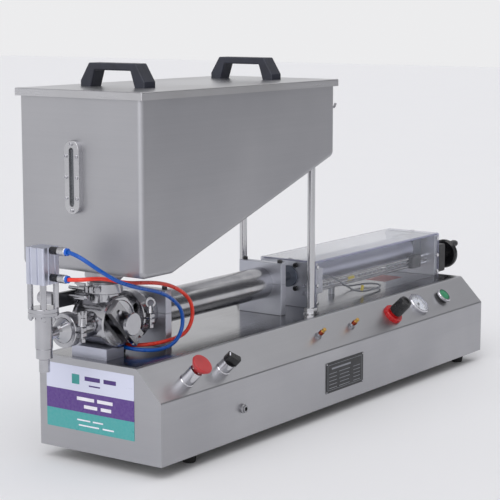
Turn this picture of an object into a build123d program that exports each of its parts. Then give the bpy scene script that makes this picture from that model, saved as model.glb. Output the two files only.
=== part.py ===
"""Piston liquid filler: bench-top pneumatic filling machine with a hopper.

Working frame while building: X runs from the nozzle end of the base (0) to the
handwheel end, Y = 0 is the middle of the base with the controls towards -Y, and
Z = 0 is the bench.  At the end every piece is moved so that the origin is the
centre of the machine's footprint on the bench.  All sizes are in millimetres.
"""
from build123d import *
import math
import os

# ---------------------------------------------------------------- driving sizes
BASE_L = 1000.0          # base length along X
BASE_D = 236.0           # base depth along Y
BASE_TOP = 161.4         # height of the deck
BASE_BOTTOM = 20.0       # underside of the base, on its feet
FRONT_TOP = 115.3        # top of the upright front face
SLOPE_RUN = 45.3         # depth taken by the sloping control panel
SHEET = 2.5              # base sheet thickness
BEND_R = 4.0             # outer bend radius of the base
DECK_T = 1.2             # polished deck plate, let into the top
DECK_RIM = 7.0           # rim left around the deck plate
SEAM = 0.6               # gap around a let-in plate
FOOT_R = 10.0            # rubber foot, at the bench
FOOT_FLARE = 2.5         # how much wider a foot is at its top
FOOT_X = (105.0, 960.0)
FOOT_Y = 88.0

AXIS_Y = 28.3            # plane of hopper outlet, valve, piston and nozzle
AXIS_Z = 214.6           # height of the piston axis
VALVE_X = 50.0           # axis of the hopper outlet and of the rotary valve
NOZZLE_X = -86.0         # axis of the nozzle

HOPPER_X0 = -3.3
HOPPER_X1 = 507.1
HOPPER_W = 236.3         # hopper width along Y
HOPPER_BOTTOM = 294.5    # flat floor of the hopper
HOPPER_FLAT = 72.5       # length of the flat floor
HOPPER_RAISED = 436.5    # height where the sloping floor meets the end wall
HOPPER_TOP = 552.7       # underside of the lid's skirt
HOPPER_WALL = 2.0
HOPPER_SIDE_R = 8.0      # bends along the sides
HOPPER_BEND_R = 11.0     # bends between floor and end walls
OUTLET_R = 30.0          # hopper outlet stub
PIPE_BORE_R = 18.0       # product passage at the outlet
LID_OVERHANG = 4.5
LID_H = 11.4
LID_T = 1.5
LID_GAP = 0.4            # lid to hopper rim
HANDLE_L = 126.0
HANDLE_W = 27.0
HANDLE_H = 36.0
HANDLE_X = (97.5, 429.5)
HANDLE_Y = 38.0
POST_X = 506.8
POST_Y = (-44.2, 98.3)
POST_R = 6.5
SIGHT_Y = 36.0
SIGHT_Z = 436.6
SIGHT_L = 109.0
SIGHT_W = 28.0
SIGHT_T = 9.0

VALVE_R = 37.0
VALVE_Y0 = 0.0           # outer face of the valve's front cap
VALVE_L = 64.0           # over both caps
VALVE_CAP_T = 6.0
VALVE_CAP_R = 39.0
SPOOL_R = 28.0
SPINDLE_R = 8.0
LEVER_L = 84.0
LEVER_W = 25.0
LEVER_T = 10.0
LEVER_GAP = 6.0          # valve cap to lever
LEVER_TILT = 45.0        # degrees below level at rest
KNOB_R = 17.5
KNOB_T = 7.0

TUBE_OR = 27.0           # product cylinder
TUBE_BORE_R = 25.0
TUBE_END = 484.0
BLOCK_X = (142.4, 458.1)
BLOCK_T = 14.4
BLOCK_D = 87.6
BLOCK_H = 90.0
STROKE = 250.0
PISTON_X = 150.0         # front of the piston, fully forward
PISTON_T = 30.0
ROD_R = 8.0
RUN = 0.05               # running clearance on a shaft or piston
SLIDE = 0.08             # running clearance on the carriage's rods
SET = 0.02               # clearance of a piece fixed in its bore

COVER_X0 = 545.2
COVER_X1 = 988.6
COVER_Y0 = -28.6
COVER_Y1 = 87.9
COVER_TOP = 245.0
COVER_T = 3.0
PLATE_T = 12.0
BARREL_R = 24.0
BARREL_WALL = 2.5
BARREL_X0 = 585.0
BARREL_X1 = 945.0
SCREW_AXIS_Y = -5.0      # lead screw, guide rods and handwheel
SCREW_AXIS_Z = 193.5
GUIDE_DZ = 7.2           # guide rods above and below the lead screw
GUIDE_R = 3.0
LEAD_R = 2.2
CARRIAGE_X = 930.0       # middle of the sensor carriage at rest
CARRIAGE = (34.0, 13.0, 24.0)
COUNTER = (26.4, 48.0, 54.0)
WHEEL_X = COVER_X1 + COUNTER[0] + 33.0
WHEEL_R = 28.5
WHEEL_T = 12.0
CRANK_R = 20.0
CRANK_ANGLE = 116.0      # where the crank grip stands, degrees from +Y

ESTOP = (82.0, 23.5)     # x, and distance up the slope
SELECTOR = (175.0, 25.0)
SPEED = ((450.0, 31.0), (555.0, 31.0))
REGULATOR = (690.0, 28.0)
GAUGE = (790.0, 33.0)
START = (880.0, 33.0)
PANEL_HOLE_R = 11.0      # 22 mm push-button hole
GAUGE_R = 21.8
INLET_X = 202.3
INLET_Z = 67.3
FIT = 0.3                # gap between separate pieces that do not run

SCREW_R = 2.5            # M5 socket screws
SCREW_HEAD_R = 4.25
SCREW_HEAD_H = 5.0
SCREW_L = 11.0

HOSE_R = 3.0
CABLE_R = 1.6

# free routes, chosen by hand: straight runs joined by tangent arcs
BLUE_ROUTE = [
    (-86, -21, 340), (-87, -36, 337.5), (-84.5, -50, 331), (-77, -61, 321.5), (-63, -67, 311),
    (-46, -69, 301), (-26, -69, 292), (3, -66.5, 282.5), (36, -61.5, 273.5), (68, -56, 265.5),
    (100, -50, 254.5), (129, -44, 240), (148.5, -40.5, 224), (156.5, -38, 207.5), (154.5, -37, 190),
    (143.8, -36, 176.5), (127.6, -36, 170), (111, -36, 168.6), (96, -35.5, 168.5), (79.5, -26, 169.5),
    (70, -10, 171), (70, 8, 172),
]
RED_ROUTE = [
    (-86, -21, 300.5), (-85.3, -35, 301.3), (-78.5, -47, 302.3), (-66.5, -54.3, 302.5),
    (-52, -56.5, 300.5), (-35, -56.5, 296.5), (-14, -56, 290.5), (12, -54, 285), (42, -50, 281),
    (76, -45, 276), (111, -39, 268.5), (147, -33, 256.5), (177, -29, 240.5), (192, -27.5, 225),
    (196, -27, 207), (190, -26.5, 190.5), (176.5, -26, 179.5), (157, -26, 176.3), (134, -26, 175.5),
    (112, -25.5, 175.3), (95.5, -16, 174.5), (86, 0, 173), (86, 16, 172),
]
CABLE_ROUTE = [
    (576, -14, 214), (594, -15, 213.5), (614, -17, 208), (634, -19, 199), (655, -20, 188),
    (677, -20.5, 177), (700, -21, 169.5), (726, -21, 166), (754, -20.5, 165.6), (780, -18, 165.4),
    (800, -9, 165.6), (808, 6, 165.8), (799, 21, 166), (778, 29, 165.6), (752, 31, 166.5),
    (732, 31.5, 171), (715, 32, 174.5), (699, 32, 174.8),
]

# ---------------------------------------------------------------- derived places
DECK_Z = BASE_TOP
SLOPE_RISE = BASE_TOP - FRONT_TOP
SLOPE_LEN = math.hypot(SLOPE_RUN, SLOPE_RISE)
SLOPE = Plane(
    origin=(0, -BASE_D / 2, FRONT_TOP),
    x_dir=(1, 0, 0),
    z_dir=(0, -SLOPE_RISE, SLOPE_RUN),
).location
TO_X = Rotation(0, 90, 0)        # local Z becomes +X
TO_FRONT = Rotation(90, 0, 0)    # local Z becomes -Y
TO_BACK = Rotation(-90, 0, 0)    # local Z becomes +Y
TO_NOZZLE = Rotation(0, -90, 0)  # local Z becomes -X
LOW = (Align.CENTER, Align.CENTER, Align.MIN)
VALVE_Y1 = VALVE_Y0 + VALVE_L
HOPPER_Y0 = AXIS_Y - HOPPER_W / 2
PLATE_X = (COVER_X0, COVER_X1 - PLATE_T)


def block(x0, x1, y0, y1, z0, z1):
    """A plain box between two corners."""
    solid = Box(x1 - x0, y1 - y0, z1 - z0, align=(Align.MIN, Align.MIN, Align.MIN))
    return Pos(x0, y0, z0) * solid


def rod_x(radius, x0, x1, y, z):
    return Pos(x0, y, z) * TO_X * Cylinder(radius, x1 - x0, align=LOW)


def rod_y(radius, y0, y1, x, z):
    return Pos(x, y0, z) * TO_BACK * Cylinder(radius, y1 - y0, align=LOW)


def rod_z(radius, z0, z1, x, y):
    return Pos(x, y, z0) * Cylinder(radius, z1 - z0, align=LOW)


def turned(*outline):
    """A turned piece about local Z, from its half outline of (radius, height)."""
    face = make_face(Polyline(*outline, close=True))
    return revolve(Plane.XZ * face, Axis.Z)


def on_slope(spot, height=0.0):
    """A place on the control panel, at a height above its surface."""
    return SLOPE * Pos(spot[0], spot[1], height)


def group(*solids):
    """Separate solids that share one node."""
    return Compound(children=[s.moved(Location()) for s in solids])


def hexagon(across_flats, height):
    return extrude(RegularPolygon(across_flats / 2, 6, major_radius=False), height)


def soft_edges(solid, radius, keep=lambda edge: True):
    return fillet([edge for edge in solid.edges() if keep(edge)], radius)


# ---------------------------------------------------------------- base
def base_profile(inset):
    """Cross-section of the base in Y and Z, inset by a sheet thickness."""
    slope_shift = inset * (SLOPE_LEN - SLOPE_RUN) / SLOPE_RISE
    top_shift = inset * (SLOPE_LEN - SLOPE_RISE) / SLOPE_RUN
    front = -BASE_D / 2 + inset
    back = BASE_D / 2 - inset
    outline = Polyline(
        (front, BASE_BOTTOM), (front, FRONT_TOP - slope_shift),
        (-BASE_D / 2 + SLOPE_RUN + top_shift, BASE_TOP - inset),
        (back, BASE_TOP - inset), (back, BASE_BOTTOM), close=True,
    )
    face = make_face(outline)
    bends = [v for v in face.vertices() if v.Y > BASE_BOTTOM + 1]
    return fillet(bends, BEND_R - inset if BEND_R > inset + 0.5 else 0.5)


def base():
    across = Plane(origin=(0, 0, 0), x_dir=(0, 1, 0), z_dir=(1, 0, 0))
    housing = extrude(across * base_profile(0), BASE_L)
    hollow = extrude(across * base_profile(SHEET), BASE_L - 2 * SHEET)
    housing -= Pos(SHEET, 0, 0) * hollow
    deck_y0 = -BASE_D / 2 + SLOPE_RUN + DECK_RIM
    deck_y1 = BASE_D / 2 - DECK_RIM
    housing -= block(DECK_RIM, BASE_L - DECK_RIM, deck_y0, deck_y1, DECK_Z - DECK_T, DECK_Z + 1)
    deck = block(
        DECK_RIM + SEAM, BASE_L - DECK_RIM - SEAM, deck_y0 + SEAM, deck_y1 - SEAM, DECK_Z - DECK_T, DECK_Z
    )
    floor_gap = SHEET + FIT
    floor = block(
        floor_gap, BASE_L - floor_gap, -BASE_D / 2 + floor_gap, BASE_D / 2 - floor_gap,
        BASE_BOTTOM, BASE_BOTTOM + SHEET,
    )
    for spot in (ESTOP, SELECTOR, START):
        housing -= on_slope(spot) * Cylinder(PANEL_HOLE_R + FIT, HOLE_DEPTH)
    housing -= on_slope(GAUGE) * Cylinder(GAUGE_R - 2 + FIT, HOLE_DEPTH)
    housing -= on_slope(REGULATOR) * Cylinder(REGULATOR_NECK_R + FIT, HOLE_DEPTH)
    for spot in SPEED:
        housing -= on_slope(spot) * Cylinder(SPEED_STEM_R + FIT, HOLE_DEPTH)
    housing -= rod_y(INLET_R + FIT, -BASE_D / 2 - 1, -BASE_D / 2 + SHEET + 1, INLET_X, INLET_Z)

    foot = turned(
        (0, 0), (FOOT_R - 1, 0), (FOOT_R, 1), (FOOT_R + FOOT_FLARE, BASE_BOTTOM - 4),
        (FOOT_R + FOOT_FLARE, BASE_BOTTOM), (0, BASE_BOTTOM),
    )
    feet = [Pos(x, y, 0) * foot for x in FOOT_X for y in (-FOOT_Y, FOOT_Y)]
    return {
        "base_housing": housing, "base_floor": floor, "deck_plate": deck, "rubber_feet": group(*feet),
    }


LABEL = (-68.0, 103.6, 52.0, 151.0)           # y0, y1, z0, z1 of the end panel's label
PLATE_SIGN = (441.5, 559.0, 42.0, 94.0)       # x0, x1, z0, z1 of the rating plate
LABEL_T = 0.5
SIGN_T = 1.0
HOLE_DEPTH = 12.0                             # cutter through the sloping sheet


def labels():
    y0, y1, z0, z1 = LABEL
    end_label = block(-LABEL_T, 0, y0, y1, z0, z1)
    x0, x1, z0, z1 = PLATE_SIGN
    face_y = -BASE_D / 2
    sign = block(x0, x1, face_y - SIGN_T, face_y, z0, z1)
    return {"end_label": end_label, "rating_plate": sign}


# ---------------------------------------------------------------- hopper
CLAMP_FLANGE_Z = 266.0   # joint between hopper outlet and valve
NECK_R = 22.5            # top neck of the valve
TOP_FLANGE_R = 24.2
FLANGE_T = 4.0


def hopper_profile(inset):
    """Side outline of the hopper in X and Z, inset by the wall."""
    slope = math.atan2(HOPPER_RAISED - HOPPER_BOTTOM, HOPPER_X1 - HOPPER_X0 - HOPPER_FLAT)
    x0 = HOPPER_X0 + inset
    x1 = HOPPER_X1 - inset
    floor = HOPPER_BOTTOM + inset
    start = HOPPER_X0 + HOPPER_FLAT - inset * math.tan(slope / 2)
    raised = floor + (x1 - start) * math.tan(slope)
    top = HOPPER_TOP + LID_H - LID_T - LID_GAP + inset
    face = make_face(Polyline((x0, top), (x0, floor), (start, floor), (x1, raised), (x1, top), close=True))
    corners = [v for v in face.vertices() if v.Y < top - 1 and not start - 1 < v.X < start + 1]
    return fillet(corners, HOPPER_BEND_R - inset)


def hopper_solid(inset):
    """The hopper as a solid body, its side bends rounded."""
    width = HOPPER_W - 2 * inset
    solid = extrude(Plane.XZ * hopper_profile(inset), width)
    solid = Pos(0, AXIS_Y + width / 2, 0) * solid
    top = solid.bounding_box().max.Z
    sides = (solid.bounding_box().min.Y, solid.bounding_box().max.Y)

    def on_side(edge):
        centre = edge.center()
        return min(abs(centre.Y - s) for s in sides) < 0.01 and centre.Z < top - 0.01

    return soft_edges(solid, HOPPER_SIDE_R - inset, on_side)


def hopper():
    body = hopper_solid(0)
    joint = CLAMP_FLANGE_Z + FLANGE_T
    stub = turned(
        (0, CLAMP_FLANGE_Z), (TOP_FLANGE_R, CLAMP_FLANGE_Z), (TOP_FLANGE_R, joint), (NECK_R, joint),
        (NECK_R, joint + 5), (OUTLET_R, joint + 13), (OUTLET_R, HOPPER_BOTTOM + 1), (0, HOPPER_BOTTOM + 1),
    )
    body += Pos(VALVE_X, AXIS_Y, 0) * stub
    for y in POST_Y:
        lug = block(POST_X - 18, POST_X + 8, y - 10, y + 10, HOPPER_RAISED - 14, HOPPER_RAISED + 3)
        body += lug
    body -= hopper_solid(HOPPER_WALL)
    body -= rod_z(PIPE_BORE_R, CLAMP_FLANGE_Z - 1, HOPPER_BOTTOM + 5, VALVE_X, AXIS_Y)
    hook_y = HOPPER_Y0 + 14
    hook_z = 516.0
    hook = Polyline((HOPPER_X1, hook_y, hook_z), (HOPPER_X1 + 20, hook_y, hook_z),
                    (HOPPER_X1 + 24, hook_y, hook_z + 6))
    start = Plane(origin=(HOPPER_X1, hook_y, hook_z), z_dir=(1, 0, 0))
    body += sweep(start * Circle(2.0), path=hook, transition=Transition.ROUND)

    x0 = HOPPER_X0 - LID_OVERHANG
    x1 = HOPPER_X1 + LID_OVERHANG
    y0 = HOPPER_Y0 - LID_OVERHANG
    y1 = HOPPER_Y0 + HOPPER_W + LID_OVERHANG
    lid = block(x0, x1, y0, y1, HOPPER_TOP, HOPPER_TOP + LID_H)
    lid = soft_edges(lid, 1.5, lambda e: e.center().Z > HOPPER_TOP + 1)
    lid -= block(x0 + LID_T, x1 - LID_T, y0 + LID_T, y1 - LID_T, HOPPER_TOP - 1, HOPPER_TOP + LID_H - LID_T)

    half = HANDLE_L / 2
    arch = Polyline(
        (-half, 0), (-half, 9), (-half + 17, HANDLE_H), (half - 17, HANDLE_H), (half, 9), (half, 0),
        (half - 20, 0), (half - 28, HANDLE_H - 11), (-half + 28, HANDLE_H - 11), (-half + 20, 0), close=True,
    )
    side = Plane(origin=(0, 0, 0), x_dir=(0, 1, 0), z_dir=(1, 0, 0))
    handle = extrude(side * make_face(arch), HANDLE_W / 2, both=True)
    handle = soft_edges(handle, 2.5, lambda e: e.center().Z > 1)
    handles = [Pos(x, HANDLE_Y, HOPPER_TOP + LID_H) * handle for x in HANDLE_X]

    face = Plane(origin=(HOPPER_X0, SIGHT_Y, SIGHT_Z), x_dir=(0, 0, 1), z_dir=(-1, 0, 0))
    frame = extrude(face * SlotOverall(SIGHT_L, SIGHT_W), SIGHT_T)
    frame = soft_edges(frame, 1.0, lambda e: abs(e.center().X - (HOPPER_X0 - SIGHT_T)) < 0.01)
    slot = extrude(face * SlotOverall(SIGHT_L - 22, 9.0), SIGHT_T)
    seat = extrude(face * SlotOverall(SIGHT_L - 16, 15.0), 4.0)
    frame = frame - slot - seat
    pane = extrude(face * SlotOverall(SIGHT_L - 16 - 2 * SEAM, 15.0 - 2 * SEAM), 4.0)
    spots = [(SIGHT_L / 2 - 5.5, 0), (-SIGHT_L / 2 + 5.5, 0)]
    spots += [(along, across) for along in (-31, 0, 31) for across in (-10.4, 10.4)]
    heads = []
    for along, across in spots:
        head = turned((0, 0), (2.6, 0), (2.6, 2.2), (2.2, 2.6), (0, 2.6)) - Pos(0, 0, 1) * hexagon(2.5, 3)
        heads.append(Pos(HOPPER_X0 - SIGHT_T, SIGHT_Y + across, SIGHT_Z + along) * TO_NOZZLE * head)
    posts = []
    for y in POST_Y:
        posts.append(rod_z(POST_R, DECK_Z + 10.2, HOPPER_RAISED - 14, POST_X, y))
    nuts = []
    for y in POST_Y:
        nuts.append(Pos(POST_X, y, DECK_Z) * Cylinder(13, 2, align=LOW))
        nuts.append(Pos(POST_X, y, DECK_Z + 2) * hexagon(19, 8.2))
    return {
        "hopper_body": body, "hopper_lid": lid, "lid_handles": group(*handles), "sight_frame": frame,
        "sight_pane": pane, "sight_screws": group(*heads), "hopper_posts": group(*posts, *nuts),
    }


# ---------------------------------------------------------------- valve and clamps
SIDE_NECK_R = 19.0       # neck towards the nozzle
SIDE_FLANGE_R = 23.0
SIDE_JOINT_X = -38.0
BIG_NECK_R = 32.5        # neck towards the product cylinder
BIG_FLANGE_R = 36.0
BIG_JOINT_X = 104.0
CLAMP_BOLT_R = 2.5
EAR_HALF = 8.0           # half width of a clamp ring's two ears
WING_HALF = 9.0
SUPPORT_X = (16.0, 56.0)
SUPPORT_Y = (-2.5, 66.0)


def valve():
    y0 = VALVE_Y0 + VALVE_CAP_T
    y1 = VALVE_Y1 - VALVE_CAP_T
    body = rod_y(VALVE_R, y0, y1, VALVE_X, AXIS_Z)
    body += rod_z(NECK_R, AXIS_Z, CLAMP_FLANGE_Z - FLANGE_T, VALVE_X, AXIS_Y)
    body += rod_z(TOP_FLANGE_R, CLAMP_FLANGE_Z - FLANGE_T, CLAMP_FLANGE_Z, VALVE_X, AXIS_Y)
    body += rod_x(SIDE_NECK_R, SIDE_JOINT_X, VALVE_X, AXIS_Y, AXIS_Z)
    body += rod_x(SIDE_FLANGE_R, SIDE_JOINT_X, SIDE_JOINT_X + FLANGE_T, AXIS_Y, AXIS_Z)
    body += rod_x(BIG_NECK_R, VALVE_X, BIG_JOINT_X, AXIS_Y, AXIS_Z)
    body += rod_x(BIG_FLANGE_R, BIG_JOINT_X - FLANGE_T, BIG_JOINT_X, AXIS_Y, AXIS_Z)
    body = body & block(SIDE_JOINT_X, BIG_JOINT_X, y0 - 8, y1 + 8, AXIS_Z - 60, CLAMP_FLANGE_Z)
    body -= block(SIDE_JOINT_X - 1, BIG_JOINT_X + 1, y0 - 20, y0, 0, 400)
    body -= block(SIDE_JOINT_X - 1, BIG_JOINT_X + 1, y1, y1 + 20, 0, 400)
    body -= rod_y(SPOOL_R + RUN, y0 - 1, y1 + 1, VALVE_X, AXIS_Z)
    body -= rod_z(PIPE_BORE_R, AXIS_Z, CLAMP_FLANGE_Z + 1, VALVE_X, AXIS_Y)
    body -= rod_x(SIDE_NECK_R - 4, SIDE_JOINT_X - 1, VALVE_X, AXIS_Y, AXIS_Z)
    body -= rod_x(PIPE_BORE_R, VALVE_X, BIG_JOINT_X + 1, AXIS_Y, AXIS_Z)

    rim = 2.0
    cap = turned(
        (0, 0), (VALVE_CAP_R, 0), (VALVE_CAP_R, VALVE_CAP_T - rim), (VALVE_CAP_R - rim, VALVE_CAP_T),
        (VALVE_CAP_R - 5, VALVE_CAP_T), (VALVE_CAP_R - 6, VALVE_CAP_T - 1.2), (0, VALVE_CAP_T - 1.2),
    )
    cap -= Pos(0, 0, -1) * Cylinder(SPINDLE_R + RUN, 20, align=LOW)
    front_cap = Pos(VALVE_X, y0, AXIS_Z) * TO_FRONT * cap
    rear_cap = Pos(VALVE_X, y1, AXIS_Z) * TO_BACK * cap

    spool = rod_y(SPOOL_R, y0 + FIT, y1 - FIT, VALVE_X, AXIS_Z)
    port = rod_z(PIPE_BORE_R - 3, AXIS_Z, AXIS_Z + 40, VALVE_X, AXIS_Y)
    port += rod_x(PIPE_BORE_R - 3, VALVE_X, VALVE_X + 40, AXIS_Y, AXIS_Z)
    port += Pos(VALVE_X, AXIS_Y, AXIS_Z) * Sphere(PIPE_BORE_R - 3)
    spool -= port
    lever_face = VALVE_Y0 - LEVER_GAP - LEVER_T
    spool += rod_y(SPINDLE_R, lever_face, y0 + FIT, VALVE_X, AXIS_Z)
    spool += rod_y(SPINDLE_R, y1 - FIT, VALVE_Y1 + 2, VALVE_X, AXIS_Z)

    bar = Box(LEVER_L, LEVER_W, LEVER_T)
    bar = soft_edges(bar, 1.0, lambda e: abs(e.center().Z) > LEVER_T / 2 - 0.1)
    bar -= Cylinder(SPINDLE_R, LEVER_T + 2)
    bar -= Pos(-LEVER_L / 2 + 17, 0, 0) * extrude(SlotOverall(16, 6), LEVER_T, both=True)
    fork_x = LEVER_L / 2
    bar -= Pos(fork_x, 0, 0) * Box(16, 7, LEVER_T + 2)
    lever_place = Pos(VALVE_X, lever_face + LEVER_T / 2, AXIS_Z) * TO_FRONT * Rotation(0, 0, -LEVER_TILT)
    pin = Pos(fork_x - 4, 0, 0) * Rotation(90, 0, 0) * Cylinder(2.0, LEVER_W + 3)
    bar -= Pos(fork_x - 4, 0, 0) * Rotation(90, 0, 0) * Cylinder(2.0, LEVER_W + 8)
    slot_bolt = Pos(-LEVER_L / 2 + 14, 0, 0) * Cylinder(3.0, LEVER_T + 5)
    knob = turned(
        (0, 0), (10, 0), (10, 5), (KNOB_R - 1, 5), (KNOB_R, 6), (KNOB_R, 4 + KNOB_T),
        (KNOB_R - 1, 5 + KNOB_T), (0, 5 + KNOB_T),
    )
    knob = Pos(VALVE_X, lever_face, AXIS_Z) * TO_FRONT * knob
    support = block(SUPPORT_X[0], SUPPORT_X[1], SUPPORT_Y[0], SUPPORT_Y[1], DECK_Z, AXIS_Z - VALVE_R + 1)
    support -= rod_y(VALVE_R, SUPPORT_Y[0] - 1, SUPPORT_Y[1] + 1, VALVE_X, AXIS_Z)
    support -= rod_y(VALVE_CAP_R + FIT, SUPPORT_Y[0] - 1, y0 + FIT, VALVE_X, AXIS_Z)
    support -= rod_y(VALVE_CAP_R + FIT, y1 - FIT, SUPPORT_Y[1] + 1, VALVE_X, AXIS_Z)

    back = VALVE_Y1 + 3
    bracket = block(VALVE_X - 70, VALVE_X + 12, back, back + 6, AXIS_Z + 24, AXIS_Z + 46)
    bracket += block(VALVE_X - 30, VALVE_X + 12, VALVE_Y1, back + 6, AXIS_Z + 24, AXIS_Z + 34)
    barrel = rod_y(10, back + 6, back + 41, VALVE_X - 56, AXIS_Z + 36)
    barrel = soft_edges(barrel, 3.0, lambda e: e.center().Y > back + 40)
    finger = turned((0, 0), (2.2, 0), (4.0, 36), (3.0, 40), (0, 41))
    finger = Pos(VALVE_X - 41, back, AXIS_Z + 39.9) * TO_FRONT * finger
    return {
        "valve_body": body, "valve_caps": group(front_cap, rear_cap), "valve_spool": spool,
        "valve_lever": lever_place * bar, "valve_support": support,
        "lever_knob_and_pins": group(knob, lever_place * pin, lever_place * slot_bolt),
        "rear_actuator": group(bracket, barrel, finger),
    }


def clamp_ring(flange_r, neck_r):
    """Two-part hygienic clamp ring about local Z, centred on its joint.

    Its ears stand out along local +X with a gap for the swing bolt along local Y.
    """
    half = 8.0
    outer = flange_r + 3.0
    ring = turned(
        (neck_r + FIT, -half), (outer - 1, -half), (outer, -half + 1), (outer, half - 1), (outer - 1, half),
        (neck_r + FIT, half), (neck_r + FIT, FLANGE_T + FIT), (flange_r + FIT, FLANGE_T + FIT),
        (flange_r + FIT, -FLANGE_T - FIT), (neck_r + FIT, -FLANGE_T - FIT),
    )
    ear = Pos(outer + 4, 0, 0) * Box(12, 2 * EAR_HALF, 11)
    ear = soft_edges(ear, 2.0, lambda e: e.center().X > outer + 9)
    ring += ear - Cylinder(outer - 1, 40)
    ring -= Pos(outer + 7, 0, 0) * Box(16, 3.0, 30)
    ring -= Pos(outer + 5.5, 0, 0) * Rotation(90, 0, 0) * Cylinder(CLAMP_BOLT_R + 0.2, 60)
    return ring, outer + 5.5


def swing_bolt(reach, length):
    """The clamp's bolt, lying along local Y at the ears, and its wing nut."""
    hole_r = CLAMP_BOLT_R + 0.2
    head_y = -EAR_HALF - 7
    bolt = Pos(reach, head_y, 0) * TO_BACK * Cylinder(CLAMP_BOLT_R, length, align=LOW)
    bolt += Pos(reach, head_y, 0) * TO_BACK * hexagon(9, 5)
    nut_y = EAR_HALF + FIT
    hub = Pos(reach, nut_y, 0) * TO_BACK * turned((hole_r, 0), (5.5, 0), (4.4, 12), (hole_r, 12))
    wings = Pos(reach, nut_y + 12, 0) * Box(3.0, 20, 2 * WING_HALF)
    wings = soft_edges(wings, 1.0, lambda e: abs(e.center().Z) > WING_HALF - 0.5)
    wings -= Pos(reach, nut_y + 22, 0) * Rotation(0, 90, 0) * Cylinder(6.5, 30)
    wings -= Pos(reach, nut_y, 0) * Rotation(90, 0, 0) * Cylinder(hole_r, 80)
    return bolt, hub + wings


def eye_nut(reach):
    """A ring nut for the same bolt: a cone under a pierced disc turned half sideways."""
    hole_r = CLAMP_BOLT_R + 0.2
    foot = EAR_HALF + FIT
    disc_r = 8.0
    cone_h = 9.0
    cone = Pos(reach, foot, 0) * TO_BACK * turned((0, 0), (6.0, 0), (4.0, cone_h + 2), (0, cone_h + 2))
    disc = Cylinder(disc_r, 5.0) - Cylinder(4.5, 8.0)
    disc = soft_edges(disc, 0.8)
    nut = cone + Pos(reach, foot + cone_h + disc_r - 1.5, 0) * Rotation(0, 45, 0) * disc
    return nut - Pos(reach, foot - 1, 0) * TO_BACK * Cylinder(hole_r, cone_h + 1, align=LOW)


def clamps():
    """Clamp rings at the hopper outlet, the nozzle neck and the cylinder."""
    upright = Rotation(0, -90, 0) * Rotation(0, 0, -90)  # ears towards the front, wing nut on top
    top = Pos(VALVE_X, AXIS_Y, CLAMP_FLANGE_Z) * Rotation(0, 180, 0)
    side = Pos(SIDE_JOINT_X, AXIS_Y, AXIS_Z) * upright
    big = Pos(BIG_JOINT_X, AXIS_Y, AXIS_Z) * upright
    places = (
        (top, TOP_FLANGE_R, NECK_R, 57.0), (side, SIDE_FLANGE_R, SIDE_NECK_R, 46.0),
        (big, BIG_FLANGE_R, BIG_NECK_R, 31.0),
    )
    rings = []
    bolts = []
    nuts = []
    for place, flange_r, neck_r, length in places:
        ring, reach = clamp_ring(flange_r, neck_r)
        bolt, nut = swing_bolt(reach, length)
        if place is big:
            nut = eye_nut(reach)
        rings.append(place * ring)
        bolts.append(place * bolt)
        nuts.append(place * nut)
    return {"clamp_rings": group(*rings), "clamp_bolts_and_wing_nuts": group(*bolts, *nuts)}


# ---------------------------------------------------------------- nozzle
NOZZLE_BODY = 35.0       # square of the compact cylinder
NOZZLE_BODY_Z = (290.6, 344.2)
GROOVE_R = 2.3           # sensor grooves down the compact cylinder
GROOVE_AT = 7.0
NOZZLE_PITCH = 13.0      # half the rod spacing
NOZZLE_FLANGE_Z = (243.9, 254.9)
NOZZLE_FLANGE_R = 22.5
NOZZLE_TUBE_R = 12.8
NOZZLE_TIP_Z = 195.4
NOZZLE_END_Z = 160.5
STEM_R = 4.0
STEM_LIFT = 15.0
OUTLET_BORE_R = 5.5
FITTING_Z = (340.0, 300.5)


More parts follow.
